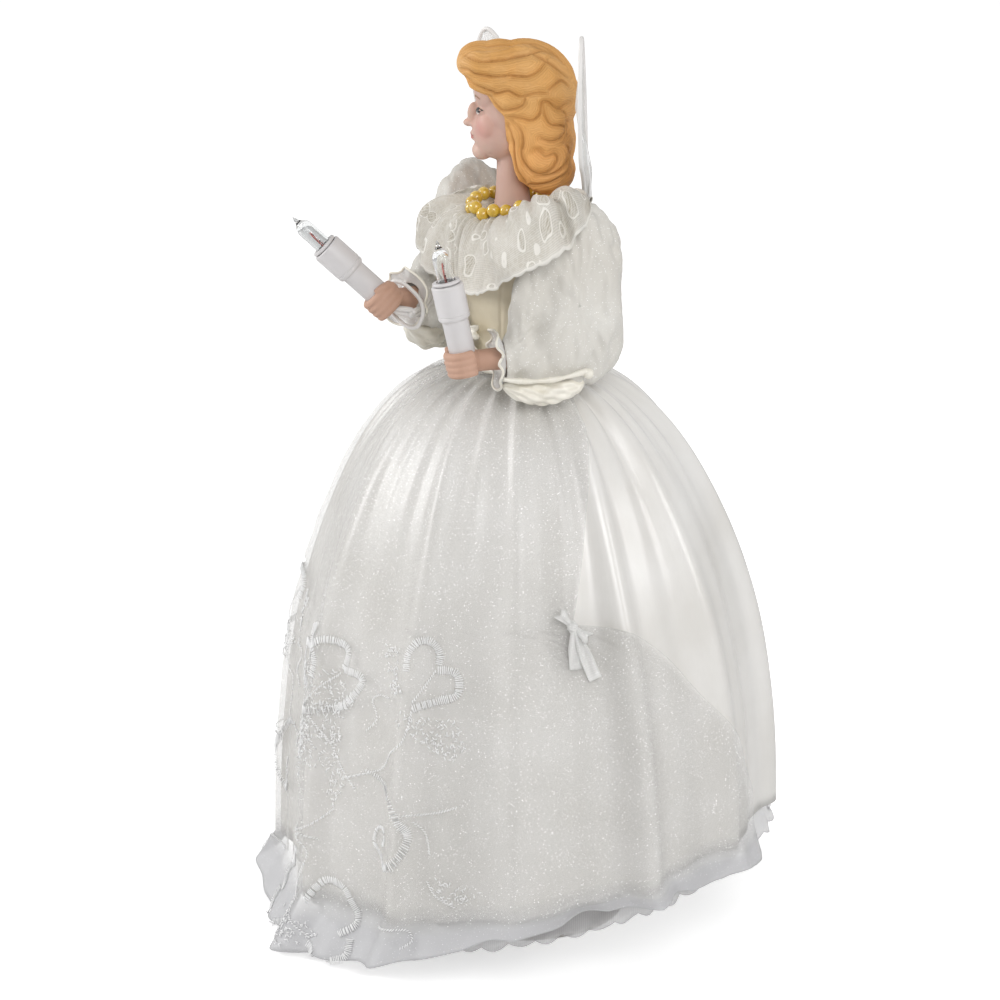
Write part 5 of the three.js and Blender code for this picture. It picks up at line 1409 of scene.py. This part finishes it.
def sleevePlaces(plan, columns, shares):
    side = plan["side"]
    elbow, wrist = (plan[key] - (0, 0, shoulder["z"]) for key in ("elbow", "wrist"))
    cap, low = 14.6, 8.5
    rim = spline([
        (0, 0, cap), (0, 0.87 * cap, 0.5 * cap), (0, cap, -0.7 * cap), (0, elbow[1] + 8, elbow[2] - 4),
        (0, elbow[1] - 3, elbow[2] - low - 3), (0, wrist[1] + 1, wrist[2] - low),
        (0, wrist[1] - 4, wrist[2] - 1), (0, wrist[1] + 1, wrist[2] + 7),
        (0, -cap, -0.2 * cap), (0, -0.75 * cap, 0.66 * cap),
    ], columns, True)
    heart = np.array((0, -0.1 * cap, elbow[2] / 2))
    turn = 2 * pi * np.arange(columns) / columns
    forward = np.clip(rim[:, 1] / wrist[1], 0, 1)
    wristX = wrist[0] - side * shoulder["halfWidth"]
    middle = side + wristX * forward
    width = 10.5 + (6.5 - 10.5) * forward
    roundRim = rounded(rim)
    roundMiddle, roundWidth = (rounded(line[:, None])[:, 0] for line in (middle, width))
    rows = []
    for share, face in shares:
        own = share**2  # the rim's corners fade towards the middle of each face
        gather = 1 + own * (0.08 * np.cos(7 * turn) + 0.05 * np.cos(19 * turn + 2 * np.sin(3 * turn)))
        p = heart + share * (roundRim + own * (rim - roundRim) - heart)
        level = min(1.0, 2 * share) ** 2
        centre = middle.mean() + level * (roundMiddle + own * (middle - roundMiddle) - middle.mean())
        reach = width.mean() + level * (roundWidth + own * (width - roundWidth) - width.mean())
        p[:, 0] = centre + face * reach * sqrt(max(0.0, 1 - share**2.4)) * gather
        rows.append(p + (side * shoulder["halfWidth"], 0, shoulder["z"]))
    return np.array(rows)


def crumple(grid, plan):  # soft dents and pulled folds
    normal = gridNormals(grid)
    outward = grid - grid.reshape(-1, 3).mean(0)
    normal *= np.sign((normal * outward).sum(-1))[..., None]
    rows = np.arange(len(grid))
    for way, fade in ((1, smoothStep(rows, 1, 10)), (-1, smoothStep(rows[::-1], 1, 10))):
        normal = normal * fade[:, None, None] + np.array((way, 0, 0)) * (1 - fade)[:, None, None]
    out = np.empty_like(grid)
    for i in range(grid.shape[0]):
        for j in range(grid.shape[1]):
            p = grid[i, j]
            spot = Vector((p[0] * 0.13, p[1] * 0.2, p[2] * 0.06))
            dent = (
                1.5 * noise.noise(spot) + 0.6 * noise.noise(spot * 2.7 + Vector((5, 0, 0)))
                + 0.2 * noise.noise(spot * 7)
            )
            out[i, j] = p + normal[i, j] * (dent - 0.35)
    side = plan["side"]
    beside = out[..., 1] > shoulder["gownFront"]
    out[..., 0] = np.where(
        beside & (side * out[..., 0] < shoulder["inner"]), side * shoulder["inner"], out[..., 0]
    )
    return out


def makeSleeve(name):
    plan = armPlans[name]
    steps = [0.004, 0.1, 0.2, 0.32, 0.44, 0.55, 0.65, 0.74, 0.81, 0.87, 0.92, 0.96, 0.985]
    shares = [(s, 1) for s in steps] + [(1.0, 0)] + [(s, -1) for s in steps[::-1]]
    grid = sleevePlaces(plan, 190, shares)
    grid = np.array([spline(grid[:, j], 64) for j in range(190)]).transpose(1, 0, 2)
    obj = clothGrid(name + "Sleeve", crumple(grid, plan), True, 130, 90)
    cutAway(obj, plan["wrist"] + 0.2 * plan["reach"], plan["reach"], False)
    edit = bmesh.new()
    edit.from_mesh(obj.data)
    middles = [(face, face.calc_center_median() / mm) for face in edit.faces]
    hole = [
        face for face, p in middles
        if plan["side"] * p.x < armhole["within"] and np.hypot(p.y, p.z - shoulder["z"]) < armhole["radius"]
    ]
    bmesh.ops.delete(edit, geom=hole, context="FACES")
    edit.to_mesh(obj.data)
    edit.free()
    smooth(obj)
    thicken(obj, 0.2)
    return dress(obj, sleeveCloth, name + "_arm", "organza", name + "_sleeve")


frill = dict(wrist=4.3, flare=4.0, ruffle=0.6, start=0.35, reach=2.1, flutter=0.8, binding=0.38)


def makeFrill(name):  # glitter organza with a satin binding
    plan = armPlans[name]
    columns, rows = 220, 16
    angle = around(columns)
    t = np.linspace(0, 1, rows)[:, None]
    phase = 7 * angle + 1.6 * np.sin(2 * angle + 0.5)
    uneven = 0.7 + 0.3 * np.sin(3 * angle + 1)
    radius = frill["wrist"] + frill["flare"] * t**0.8 + frill["ruffle"] * t * np.cos(phase) * uneven
    swing = t**1.4 * np.cos(phase + 1.3) * uneven
    height = frill["start"] + frill["reach"] * t + frill["flutter"] * swing
    local = np.stack([radius * np.cos(angle), radius * np.sin(angle), height], -1)
    turn = np.array(turnTo(plan["reach"]).to_matrix())
    grid = local @ turn.T + plan["wrist"]
    cloth = clothGrid(name + "CuffFrill", grid, True, 90, 6)
    thicken(cloth, 0.2, 0.0)
    dress(cloth, wingCloth, name + "_arm", "organza", name + "_cuff_frill")
    bind = tubePiece(name + "CuffBinding", grid[-1], frill["binding"], 8, loop=True)
    dress(bind, ribbonSatin, name + "_arm", "satin")
    return cloth, bind


satinCuff = dict(share=0.62, out=3, drop=8.9, across=4.3, half=11.6, tall=3.5, roll=0.75, bead=1.5)


def makeSatinCuff(name):  # folded satin under the sleeve, with a rolled edge and a bead at its back
    plan = armPlans[name]
    side = plan["side"]
    spot = (
        plan["elbow"] + satinCuff["share"] * (plan["wrist"] - plan["elbow"])
        + (side * satinCuff["out"], 0, -satinCuff["drop"] - plan["cuffDrop"])
    )
    along = unit(plan["wrist"] - plan["elbow"])
    out = unit(np.cross(along, (0, 0, 1))) * side
    out = out if out[0] * side > 0 else -out
    up = unit(np.cross(out, along))
    up = up if up[2] > 0 else -up
    columns, rows = 90, 60
    s = np.linspace(-1, 1, rows)[:, None]
    angle = around(columns)
    body = np.sqrt(np.maximum(0.03, 1 - np.abs(s) ** 2.6))
    crease = 1 + 0.09 * np.cos(5 * angle + 7 * s) + 0.05 * np.cos(9 * angle - 11 * s)
    across = satinCuff["across"] * body * crease
    tall = (satinCuff["tall"] + 0.4 * plan["cuffDrop"]) * body * crease
    droop = -1.3 * (1 - s**2) + 1.4 * np.maximum(0, s) ** 2
    lengthwise = satinCuff["half"] * s + 0 * angle
    local = np.stack([across * np.cos(angle), lengthwise, tall * np.sin(angle) + droop], -1)
    grid = spot + local[..., :1] * out + local[..., 1:2] * along + local[..., 2:] * up
    cloth = clothGrid(name + "SatinCuff", grid, True, 28, 30)
    faceOutward(cloth, closed=False)
    dress(cloth, ribbonSatin, name + "_arm", "satin", name + "_cuff_bow")
    top = [
        spot + 12.0 * t * along + (4.6 - 1.2 * t * t) * out + (3.2 + 1.3 * t * t) * up
        for t in np.linspace(-1, 1, 40)
    ]
    radii = satinCuff["roll"] + 0.15 * np.sin(np.linspace(0, 18, 40))
    roll = tubePiece(name + "SatinRoll", top, radii, 12)
    dress(roll, ribbonSatin, name + "_arm", "satin")
    bead = egg((satinCuff["bead"],) * 3, spot - 12.4 * along + 3.0 * out + 3.4 * up, None, 24, 16)
    bead.name = name + "CuffBead"
    smooth(bead)
    dress(bead, ribbonSatin, name + "_arm", "satin")
    return [cloth, roll, bead]


def makeUpperArm(name):
    plan = armPlans[name]
    side = plan["side"]
    path = [
        (side * 19.5, 0, shoulder["z"]), (side * 25.1, 0, shoulder["z"]), (side * 29, 1, 198),
        plan["elbow"] + (0, 0, 4), plan["elbow"] + 2 * plan["reach"],
    ]
    count = 40
    t = np.linspace(0, 1, count)
    radii = 4.5 * np.minimum(1, 0.45 + 4 * np.minimum(t, 1 - t)) + 0.1 * np.sin(25 * t)
    obj = tubePiece(name + "UpperArm", spline(path, count), radii, 24)
    dress(obj, muslin, name + "_arm", "stuffing", name + "_upper_arm")


for name in armPlans:
    sleeve = makeSleeve(name)
    trim = [*makeFrill(name), *makeSatinCuff(name)]
    makeUpperArm(name)
print("stage: sleeves and cuffs")


# Hands and lamps

def makeHand(name):
    plan = armPlans[name]
    side, hand, reach, axis = plan["side"], plan["hand"], plan["reach"], plan["axis"]
    out = unit(np.cross(reach, axis)) * side
    out = out if out[0] * side > 0 else -out
    ahead = unit(np.cross(axis, out))
    ahead = ahead if ahead @ reach > 0 else -ahead
    start = plan["elbow"] + 7.0 * reach
    parts = [
        tubePiece(
            "forearm", spline([start, (start + hand) / 2, hand - 5.0 * reach, hand - 1.5 * reach], 24),
            spline([(3.2,), (3.4,), (3.05,), (3.3,)], 24)[:, 0], 24,
        ),
    ]
    turn = Matrix((tuple(out), tuple(ahead), tuple(axis))).transposed().to_quaternion()
    parts.append(egg((3.7, 4.4, 4.2), hand - 0.6 * ahead + 0.3 * out, turn))
    taper = np.concatenate([np.ones(12), (0.98, 0.95, 0.88, 0.7)])
    for height, size in ((2.7, 1.2), (0.95, 1.28), (-0.8, 1.24), (-2.5, 1.1)):
        ring = [
            hand + height * axis + 4.4 * (cos(a) * out + sin(a) * ahead)
            for a in np.linspace(radians(-30), radians(205), 16)
        ]
        parts.append(tubePiece("finger", ring, size * taper, 14))
    bends = ((-0.5, 3.6, -0.7), (1.6, 4.4, -0.2), (3.3, 4.7, 0.4), (4.1, 4.6, 1.0))
    thumb = [hand + h * axis + r * (cos(a) * -out + sin(a) * ahead) for h, r, a in bends]
    parts.append(
        tubePiece("thumb", spline(thumb, 14), spline([(1.7,), (1.5,), (1.25,), (0.85,)], 14)[:, 0], 14)
    )
    obj = joinAll(name + "Hand", parts)
    remesh(obj, 0.26, 4)
    return dress(obj, handSkin, name + "_arm", "bisque", name + "_forearm_hand")


lampCut = dict(
    foot=-2.0, step=12.5, rim=22.8, bottom=9.7, top=23.9, seat=19.4, glassFoot=19.7, shoulder=31.7
)


def makeLamp(name):
    plan = armPlans[name]
    c = lampCut
    socket = turned(name + "Socket", [
        (0, c["foot"]), (3.3, c["foot"]), (3.62, c["foot"] + 0.35), (3.7, c["foot"] + 0.9),
        (3.7, c["step"] - 0.4), (3.76, c["step"] - 0.1), (4.2, c["step"] + 0.25),
        (4.44, c["step"] + 0.6), (4.5, c["step"] + 1.0), (4.5, c["step"] + 1.35),
        (4.36, c["step"] + 1.5), (4.36, c["step"] + 1.7), (4.5, c["step"] + 1.85),
        (4.52, c["rim"] - 0.5), (4.42, c["rim"] - 0.15), (4.2, c["rim"]), (3.4, c["rim"]),
        (3.22, c["rim"] - 0.25), (3.22, c["bottom"]), (0, c["bottom"]),
    ], plan["hand"], plan["axis"])
    dress(socket, socketPlastic, name + "_arm", "plastic", name + "_lamp_socket")
    base = turned(name + "BulbBase", [
        (0, c["bottom"] + 0.3), (2.1, c["bottom"] + 0.3), (2.36, c["bottom"] + 0.7),
        (2.36, c["seat"] - 1.2), (2.9, c["seat"] - 0.9), (2.95, c["rim"] + 0.2),
        (3.85, c["rim"] + 0.3), (4.0, c["rim"] + 0.5), (4.0, c["top"] - 0.35), (3.8, c["top"]),
        (2.9, c["top"] + 0.05), (2.72, c["top"] - 0.15), (2.72, c["seat"]), (0, c["seat"]),
    ], plan["hand"], plan["axis"])
    dress(base, socketPlastic, name + "_bulb", "plastic", name + "_bulb_base")
    g, s = c["glassFoot"], c["shoulder"]
    glass = turned(name + "BulbGlass", [
        (2.05, g), (2.45, g), (2.45, s - 1.4), (2.4, s - 0.6), (2.2, s + 0.2), (1.8, s + 0.9),
        (1.25, s + 1.4), (0.8, s + 1.9), (0.52, s + 2.6), (0.3, s + 3.5), (0, s + 4.0), (0, s + 0.7),
        (0.9, s + 0.5), (1.55, s), (1.9, s - 0.8), (2.05, s - 1.8), (2.05, g),
    ], plan["hand"], plan["axis"], 48)
    dress(glass, glassClear, name + "_bulb", "glass", name + "_bulb_glass")
    across = unit(np.cross(plan["axis"], (0.47, 0.88, 0)))
    beside = np.cross(plan["axis"], across)
    place = lambda x, y, h: plan["hand"] + plan["axis"] * h + across * x + beside * y
    long = [
        place(-0.9, 0, g - 0.1), place(-0.95, 0.1, g + 4.2), place(-0.6, 0.1, g + 7.6),
        place(0.2, 0, g + 9.2), place(0.9, 0, g + 8.4),
    ]
    short = [place(0.9, 0, g - 0.1), place(0.95, -0.1, g + 3.4), place(0.8, 0, g + 5.4)]
    wires = [tubePiece("post", spline(long, 30), 0.2, 8), tubePiece("post", spline(short, 20), 0.2, 8)]
    coil = [
        place(0.9 - 0.2 * t + 0.3 * cos(40 * t), 0.3 * sin(40 * t), g + 8.4 - 3.0 * t)
        for t in np.linspace(0, 1, 120)
    ]
    wires.append(tubePiece("coil", coil, 0.07, 6))
    post = joinAll(name + "BulbLeads", wires)
    dress(post, leadWire, name + "_bulb", "filament", name + "_bulb_filament")
    beads = joinAll(name + "BulbBead", [
        egg((1.35, 0.7, 0.6), place(0, 0, g + 3.0), turnTo(plan["axis"])),
        egg((0.3, 0.3, 0.5), place(0.9, 0, g + 8.3), turnTo(plan["axis"])),
        egg((0.28, 0.28, 0.4), place(0.8, 0, g + 5.4), turnTo(plan["axis"])),
    ])
    smooth(beads)
    dress(beads, leadTip, name + "_bulb", "filament")


def makeLead(name):  # two insulated wires side by side
    path = spline(leadPath(name), 90)
    along = unitRows(np.gradient(path, axis=0))
    away, reach = path - armPlans[name]["wrist"], armPlans[name]["reach"]
    level = unitRows(np.cross(along, away - (away @ reach)[:, None] * reach))
    beside = unitRows(np.cross(along, np.cross(level, along)))
    for i in range(1, len(beside)):
        if beside[i] @ beside[i - 1] < 0:
            beside[i] *= -1
    for _ in range(6):
        beside[1:-1] = (beside[:-2] + beside[1:-1] + beside[2:]) / 3
    wires = [tubePiece("wire", path + beside * 0.84 * sign, 0.8, 14) for sign in (-1, 1)]
    return dress(
        joinAll(name + "LampLead", wires), wireWhite, name + "_arm", "insulation", name + "_lamp_lead"
    )


def makeLeadTie():
    plan = armPlans["right"]
    reach = plan["reach"]
    centre = plan["wrist"] + 5.4 * reach
    path = spline(leadPath("right"), 400)
    crossing = path[np.argmin(np.abs((path - centre) @ reach))]
    heading = crossing - centre
    heading -= (heading @ reach) * reach
    reachOut = np.linalg.norm(heading) + 1.7 + 1.2 + 0.6
    ahead = unit(heading)
    over = np.cross(reach, ahead)
    back = 4.9
    points = []
    for a in np.linspace(0, 2 * pi, 64, endpoint=False):
        square = lambda t: np.sign(t) * abs(t) ** 0.7
        x = (reachOut - back) / 2 + (reachOut + back) / 2 * square(cos(a))
        points.append(centre + x * ahead + back * square(sin(a)) * over + 0.35 * sin(3 * a) * reach)
    obj = tubePiece("rightLeadTie", points, 0.6, 12, loop=True)
    return dress(obj, wireWhite, "right_arm", "insulation", "right_lead_tie")


for name in armPlans:
    makeHand(name)
    makeLamp(name)
    makeLead(name)
makeLeadTie()
print("stage: hands and lamps")


# Wings on their wire frames

wingPlans = dict(
    left=dict(side=1, sweep=radians(33), rise=60.0), right=dict(side=-1, sweep=radians(20), rise=51.0)
)
wingCut = dict(
    pin=(4.5, 19.6),
    span=38.0,
    foot=194.5,
    head=200.0,
    root=1.65,
    rib=201.0,
    outline=[
        (0.25, -0.07), (0.42, 0.19), (0.63, 0.325), (0.87, 0.42), (1, 0.62), (1, 0.825), (0.895, 1),
        (0.71, 0.91), (0.42, 0.585), (0.2, 0.19),
    ],
)


def wingPoint(plan, x, y, z):
    side, sweep = plan["side"], plan["sweep"]
    ahead = np.array((side * cos(sweep), -sin(sweep), 0))
    over = np.array((side * sin(sweep), cos(sweep), 0))
    pin = np.array((side * wingCut["pin"][0], wingCut["pin"][1], 0))
    spread = np.multiply.outer
    return pin + spread(x, ahead) + spread(y, over) + spread(z, (0, 0, 1))


def makeWing(name):
    plan = wingPlans[name]
    flat = [(wingCut["root"], wingCut["foot"])]
    flat += [(x * wingCut["span"], shoulder["z"] + z * plan["rise"]) for x, z in wingCut["outline"]]
    flat.append((wingCut["root"], wingCut["head"]))
    rim = spline(flat, 120)
    loop = wingPoint(plan, rim[:, 0], 0 * rim[:, 0], rim[:, 1])
    wire = tubePiece("wire", loop, 0.62, 12)
    barrel = turned(
        "barrel",
        [(1.2, 193.2), (2.0, 193.3), (2.1, 193.6), (2.1, 200.5), (2.0, 200.8), (1.2, 200.9), (1.2, 193.2)],
        (plan["side"] * wingCut["pin"][0], wingCut["pin"][1], 0), (0, 0, 1), 32,
    )
    frameWire = joinAll(name + "WingFrame", [wire, barrel])
    dress(frameWire, wireWhite, name + "_wing", "wire", name + "_wing_frame")
    rings, count = 16, len(rim)
    spine = np.array([
        (wingCut["span"] * (0.12 + 0.62 * t), wingCut["rib"] + plan["rise"] * (0.02 + 0.72 * t))
        for t in np.linspace(0, 1, count)
    ])
    upAndBack = (1 - np.abs(np.linspace(-1, 1, count))) * (count - 1)
    middle = spine[np.clip(upAndBack, 0, count - 1).astype(int)]
    grid = []
    for share in np.linspace(0.03, 0.985, rings):
        p = middle + (rim - middle) * share
        billow = (
            1.8 * (1 - share**2) * np.sin(0.12 * p[:, 1])
            + 0.35 * (1 - share) * np.sin(0.55 * p[:, 0] + 0.3 * p[:, 1])
        )
        grid.append(wingPoint(plan, p[:, 0], billow, p[:, 1]))
    panelCloth = clothGrid(name + "WingPanel", np.array(grid), False, 150, 16)
    thicken(panelCloth, 0.22, 0.0)
    dress(panelCloth, wingCloth, name + "_wing", "organza", name + "_wing_panel")
    ribs = []
    for k in (14, 26, 38, 50, 62, 74, 88):
        end = rim[k]
        start = np.array((wingCut["span"] * 0.1, wingCut["rib"]))
        bend = (start + end) / 2 + np.array((end[1] - start[1], start[0] - end[0])) * 0.06
        line = spline([start, bend, end], 24)
        if not all(insideOutline(p, [tuple(q) for q in rim]) for p in line[3:-2]):
            continue
        billow = 1.8 * np.sin(pi * np.linspace(0, 1, 24)) * np.sin(0.12 * line[:, 1])
        path = wingPoint(plan, line[:, 0], billow, line[:, 1])
        ribs.append(tubePiece("rib", path, np.linspace(0.36, 0.22, 24), 8))
    rib = dress(joinAll(name + "WingRibs", ribs), threadWhite, name + "_wing", "organza")


for name in wingPlans:
    makeWing(name)
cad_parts["wing_bracket"].data.materials.clear()
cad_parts["wing_bracket"].data.materials.append(socketPlastic)
print("stage: wings")


# Swag ties and what lies inside the gown

def makeSwagTie(name, angle):
    latitude = panel["knotLatitude"]
    near = ((angle, latitude), (angle, latitude - 0.05), (angle + 0.05, latitude))
    seat, above, around = (bell(np.array(a), np.array(b), 2.8) for a, b in near)
    up = unit(above - seat)
    out = unit(np.cross(around - seat, up))
    tie = makeBow(
        name + "SwagTie", seat, out, up, dict(angles=(-0.7, 0.9), length=5.2, height=2.0), 16.0, 3.8,
        [(0.34, 1.0), (0.02, 0.75)], 1.6,
    )
    return dress(tie, tieCloth, "gown", "organza", name + "_swag_tie")


swagTies = [makeSwagTie("left", panel["knotAngle"]), makeSwagTie("right", pi - panel["knotAngle"])]

# Embroidery: traditional flower and scroll sprays, in degrees round the gown and millimetres up

embroidery = dict(
    petals=[
        [(-92, 83.5), (-92, 88.5), (-87.5, 94), (-82, 94), (-79, 92), (-80, 87)],
        [(-79.5, 87), (-75, 87), (-73, 85.5), (-74.5, 82), (-79, 76.5), (-90.5, 72.5)],
        [(-56.5, 93.5), (-56.5, 98), (-54.5, 101.5), (-51.5, 101.5), (-49, 98.5), (-49, 95.5)],
        [(-49, 94), (-46, 94), (-44, 92.5), (-44, 87.5), (-48, 85.5), (-54.5, 83)],
        [(-86.5, 16), (-82.5, 23), (-76.5, 23.5), (-73.5, 19), (-71, 14), (-74.5, 10)],
        [(-83, 4.5), (-78, 2.5), (-71.5, 4.5), (-71.5, 9.5)],
    ],
    scroll=[[
        (-70, 60), (-64.5, 58.5), (-59.5, 56), (-56.5, 50), (-54.5, 46), (-56, 40), (-59.5, 35.5), (-63, 37),
        (-66.5, 39), (-66, 43), (-64, 45), (-61, 45), (-61, 41.5), (-62.5, 41),
    ]],
    stems=[
        [(-92.5, 72.5), (-99, 63.5), (-107, 54)],
        [(-54.5, 83), (-56, 74), (-60, 68.5), (-64, 62.5), (-68, 60), (-77, 56)],
        [(-79.5, 46), (-81.5, 44), (-88, 37.5), (-96, 35.5)],
        [(-55.5, 52), (-50.5, 52.5), (-43.5, 55)],
        [(-53.5, 50), (-50.5, 46.5), (-49.5, 40.5)],
        [(-70.5, 71.5), (-68, 75), (-68, 77), (-69.5, 80.5), (-67.5, 82.5), (-64, 82.5)],
        [(-50, 32.5), (-48, 28.5), (-43.5, 25)],
        [(-62, 16.5), (-58, 17.5), (-54.5, 17.5), (-53, 15), (-55, 13)],
        [(-91.5, 35.5), (-86, 31.5), (-88.5, 20.5), (-89, 12), (-83, 6)],
        [(-89.5, 74.5), (-85, 81.5), (-81, 85.5)],
        [(-54.5, 85), (-51.5, 90.5), (-49.5, 94)],
    ],
    seeds=[
        [(-106, 80), (-95.5, 87), (-92, 83.5), (-93.5, 72.5), (-101.5, 73)],
        [(-93.5, 71), (-82, 72.5), (-78.5, 69), (-78.5, 61.5), (-82.5, 55.5), (-91, 59.5)],
        [(-68, 97.5), (-59, 98), (-59.5, 91.5), (-56.5, 86.5), (-63, 84.5), (-65.5, 91)],
        [(-61, 82.5), (-55, 81.5), (-44, 80.5), (-41.5, 72), (-45, 68), (-54, 74.5)],
        [(-77.5, 59.5), (-81, 56), (-82.5, 50), (-79.5, 46), (-77, 52), (-76.5, 56)],
        [(-49, 34.5), (-42.5, 31.5), (-36.5, 30.5), (-43.5, 25), (-49.5, 30.5)],
        [(-100, 8), (-90, 12), (-83, 4.5), (-89.5, 2.5)],
    ],
    stitchGap=0.55,
    thread=0.17,
)


def onOrganza(tree, degrees, height):  # a place on the overskirt's outside and the way it faces
    outward = Vector((cos(radians(degrees)), sin(radians(degrees)), 0))
    hit, normal = tree.ray_cast((outward * 130 + Vector((0, 0, height))) * mm, -outward)[:2]
    if hit is None:
        return None
    normal = normal if normal.dot(outward) > 0 else -normal
    return np.array(hit) / mm + 0.1 * np.array(normal), np.array(normal)


def stitch(points, faces, a, b, normal, thread):  # one raised thread from a to b
    along = unit(b - a)
    across = unit(np.cross(normal, along)) * thread
    start = len(points)
    points.append(a)
    for share in (0.22, 0.78):
        p = a + (b - a) * share + normal * 0.24
        points.extend([p + across, p + normal * thread, p - across, p - normal * thread])
    points.append(b)
    for k in range(4):
        n = (k + 1) % 4
        faces.append((start, start + 1 + n, start + 1 + k))
        faces.append((start + 1 + k, start + 1 + n, start + 5 + n, start + 5 + k))
        faces.append((start + 5 + k, start + 5 + n, start + 9))


def makeEmbroidery(name, mirror):
    tree = surfaceTree(overskirt)
    place = lambda d, z: onOrganza(tree, -180 - d if mirror else d, z)
    points, faces = [], []
    plans = [(line, lambda t: 2.9, 0.0) for line in embroidery["petals"]]
    plans += [
        (line, lambda t: 1.4 + 2.0 * sin(pi * min(1, 1.25 * t)), 0.15) for line in embroidery["scroll"]
    ]
    plans += [(line, lambda t: 1.15, 0.9) for line in embroidery["stems"]]
    for line, width, slant in plans:
        spots = [found for found in (place(d, z) for d, z in spline(line, 120)) if found]
        path, normals = np.array([s[0] for s in spots]), np.array([s[1] for s in spots])
        lengths = np.concatenate([[0], np.cumsum(np.linalg.norm(np.diff(path, axis=0), axis=1))])
        gap = embroidery["stitchGap"] * (1.5 if slant > 0.5 else 1)
        for s in np.arange(0, lengths[-1], gap):
            k = min(int(np.searchsorted(lengths, s)), len(path) - 2)
            along = unit(path[k + 1] - path[max(k - 1, 0)])
            over = unit(np.cross(normals[k], along))
            heading = unit(over * cos(slant) + along * sin(slant))
            half = width(s / lengths[-1]) / 2 * dice.uniform(0.85, 1.1)
            stitch(
                points, faces, path[k] - half * heading, path[k] + half * heading, normals[k],
                embroidery["thread"],
            )
    for outline in embroidery["seeds"]:
        low, high = np.min(outline, axis=0), np.max(outline, axis=0)
        for _ in range(int(0.75 * (high[0] - low[0]) * (high[1] - low[1]))):
            spot = (dice.uniform(low[0], high[0]), dice.uniform(low[1], high[1]))
            found = place(*spot) if insideOutline(spot, outline) else None
            if found:
                turn = dice.uniform(0, pi)
                flat = unit(np.cross(found[1], (0, 0, 1)))
                heading = flat * cos(turn) + np.cross(found[1], flat) * sin(turn)
                stitch(
                    points, faces, found[0] - 0.65 * heading, found[0] + 0.65 * heading, found[1],
                    embroidery["thread"],
                )
    obj = meshPiece(name, points, faces)
    return dress(obj, threadWhite, "gown", "organza")


sprays = [makeEmbroidery("leftSpray", False), makeEmbroidery("rightSpray", True)]
print("stage: embroidery", [len(spray.data.polygons) for spray in sprays])


coneCut = dict(foot=27.0, taper=16.5, top=158.0, card=2.4, seam=0.35)
harness = dict(radius=1.05, room=1.1, gap=0.3, y=-5, z=202, half=18.7)


def coneWall(z):
    return coneCut["foot"] - coneCut["taper"] * z / coneCut["top"]


def makeInside():
    cone = turned("treeCone", [
        (25.8, 0.0), (30.6, 0.0), (31.0, 0.4), (31.0, 1.3), (30.6, 1.6), (27.4, 1.6), (26.8, 2.2),
        (10.5, coneCut["top"] - 0.2), (10.3, coneCut["top"]), (9.4, coneCut["top"]),
        (9.3, coneCut["top"] - 0.3), (25.8, 0.0),
    ], (0, 0, 0), (0, 0, 1), 96)
    seam = [(0.0, -(coneWall(z) + coneCut["seam"]), z) for z in np.linspace(4, 156, 24)]
    strip = ribbonStrip("coneSeam", seam, [6.0] * 24, [(1, 0, 0)] * 24, 150)
    cone = joinAll("treeCone", [cone, strip])
    dress(cone, cardPaint, "gown", "card", "tree_cone")
    gland = turned("cordGland", [
        (1.5, -2.5), (2.9, -2.5), (3.2, -2.2), (3.2, -0.9), (2.7, -0.7), (2.7, 0.7), (3.2, 0.9),
        (3.2, 2.2), (2.9, 2.5), (1.7, 2.5), (1.5, 2.3), (1.5, -2.5),
    ], (0, 26.1, 9), (0, 1, 0), 40)
    dress(gland, wireWhite, "gown", "plastic", "cord_gland")
    inset = coneCut["card"] + harness["room"] + harness["gap"]
    route = [(0, harness["y"], z) for z in (harness["z"], 165.5, 150)]
    route += [(0, share * (coneWall(z) - inset), z) for share, z in ((0.6, 120), (1, 90), (1, 45), (1, 18))]
    route += [(0, 22.3, 9), (0, 23.3, 9)]
    across = [
        (x, harness["y"], harness["z"]) for x in np.linspace(-harness["half"], harness["half"], 20)
    ]
    wires = [
        tubePiece("down", spline(route, 80), harness["radius"], 14),
        tubePiece("across", across, harness["radius"], 14),
    ]
    dress(joinAll("leadHarness", wires), wireWhite, "gown", "insulation", "lead_harness")
    rod = turned(
        "shoulderWire", [(0, -26.8), (0.7, -26.8), (1.0, -26.4), (1.0, 26.4), (0.7, 26.8), (0, 26.8)],
        (0, 0, shoulder["z"]), (1, 0, 0), 24,
    )
    dress(rod, steelWire, "gown", "wire", "shoulder_wire")
    rings = [
        (9, 9, 150), (9, 9, 158), (12.4, 12.4, 158.6), (13.4, 13.4, 165.5), (14.6, 12.6, 180),
        (15.1, 11.9, 192), (14.1, 9.9, 206), (7.4, 5.8, 210.8),
    ]
    sizes = spline(rings, 40)
    angle = np.linspace(0, 2 * pi, 48, endpoint=False)
    grid = np.array([[(rx * cos(a), ry * sin(a), z) for a in angle] for rx, ry, z in sizes])
    torso = clothGrid("stuffedTorso", grid, True, 90, 62)
    faceOutward(torso, closed=False)
    dress(torso, muslin, "gown", "stuffing", "torso_core")


makeInside()
print("stage: ties and inside")
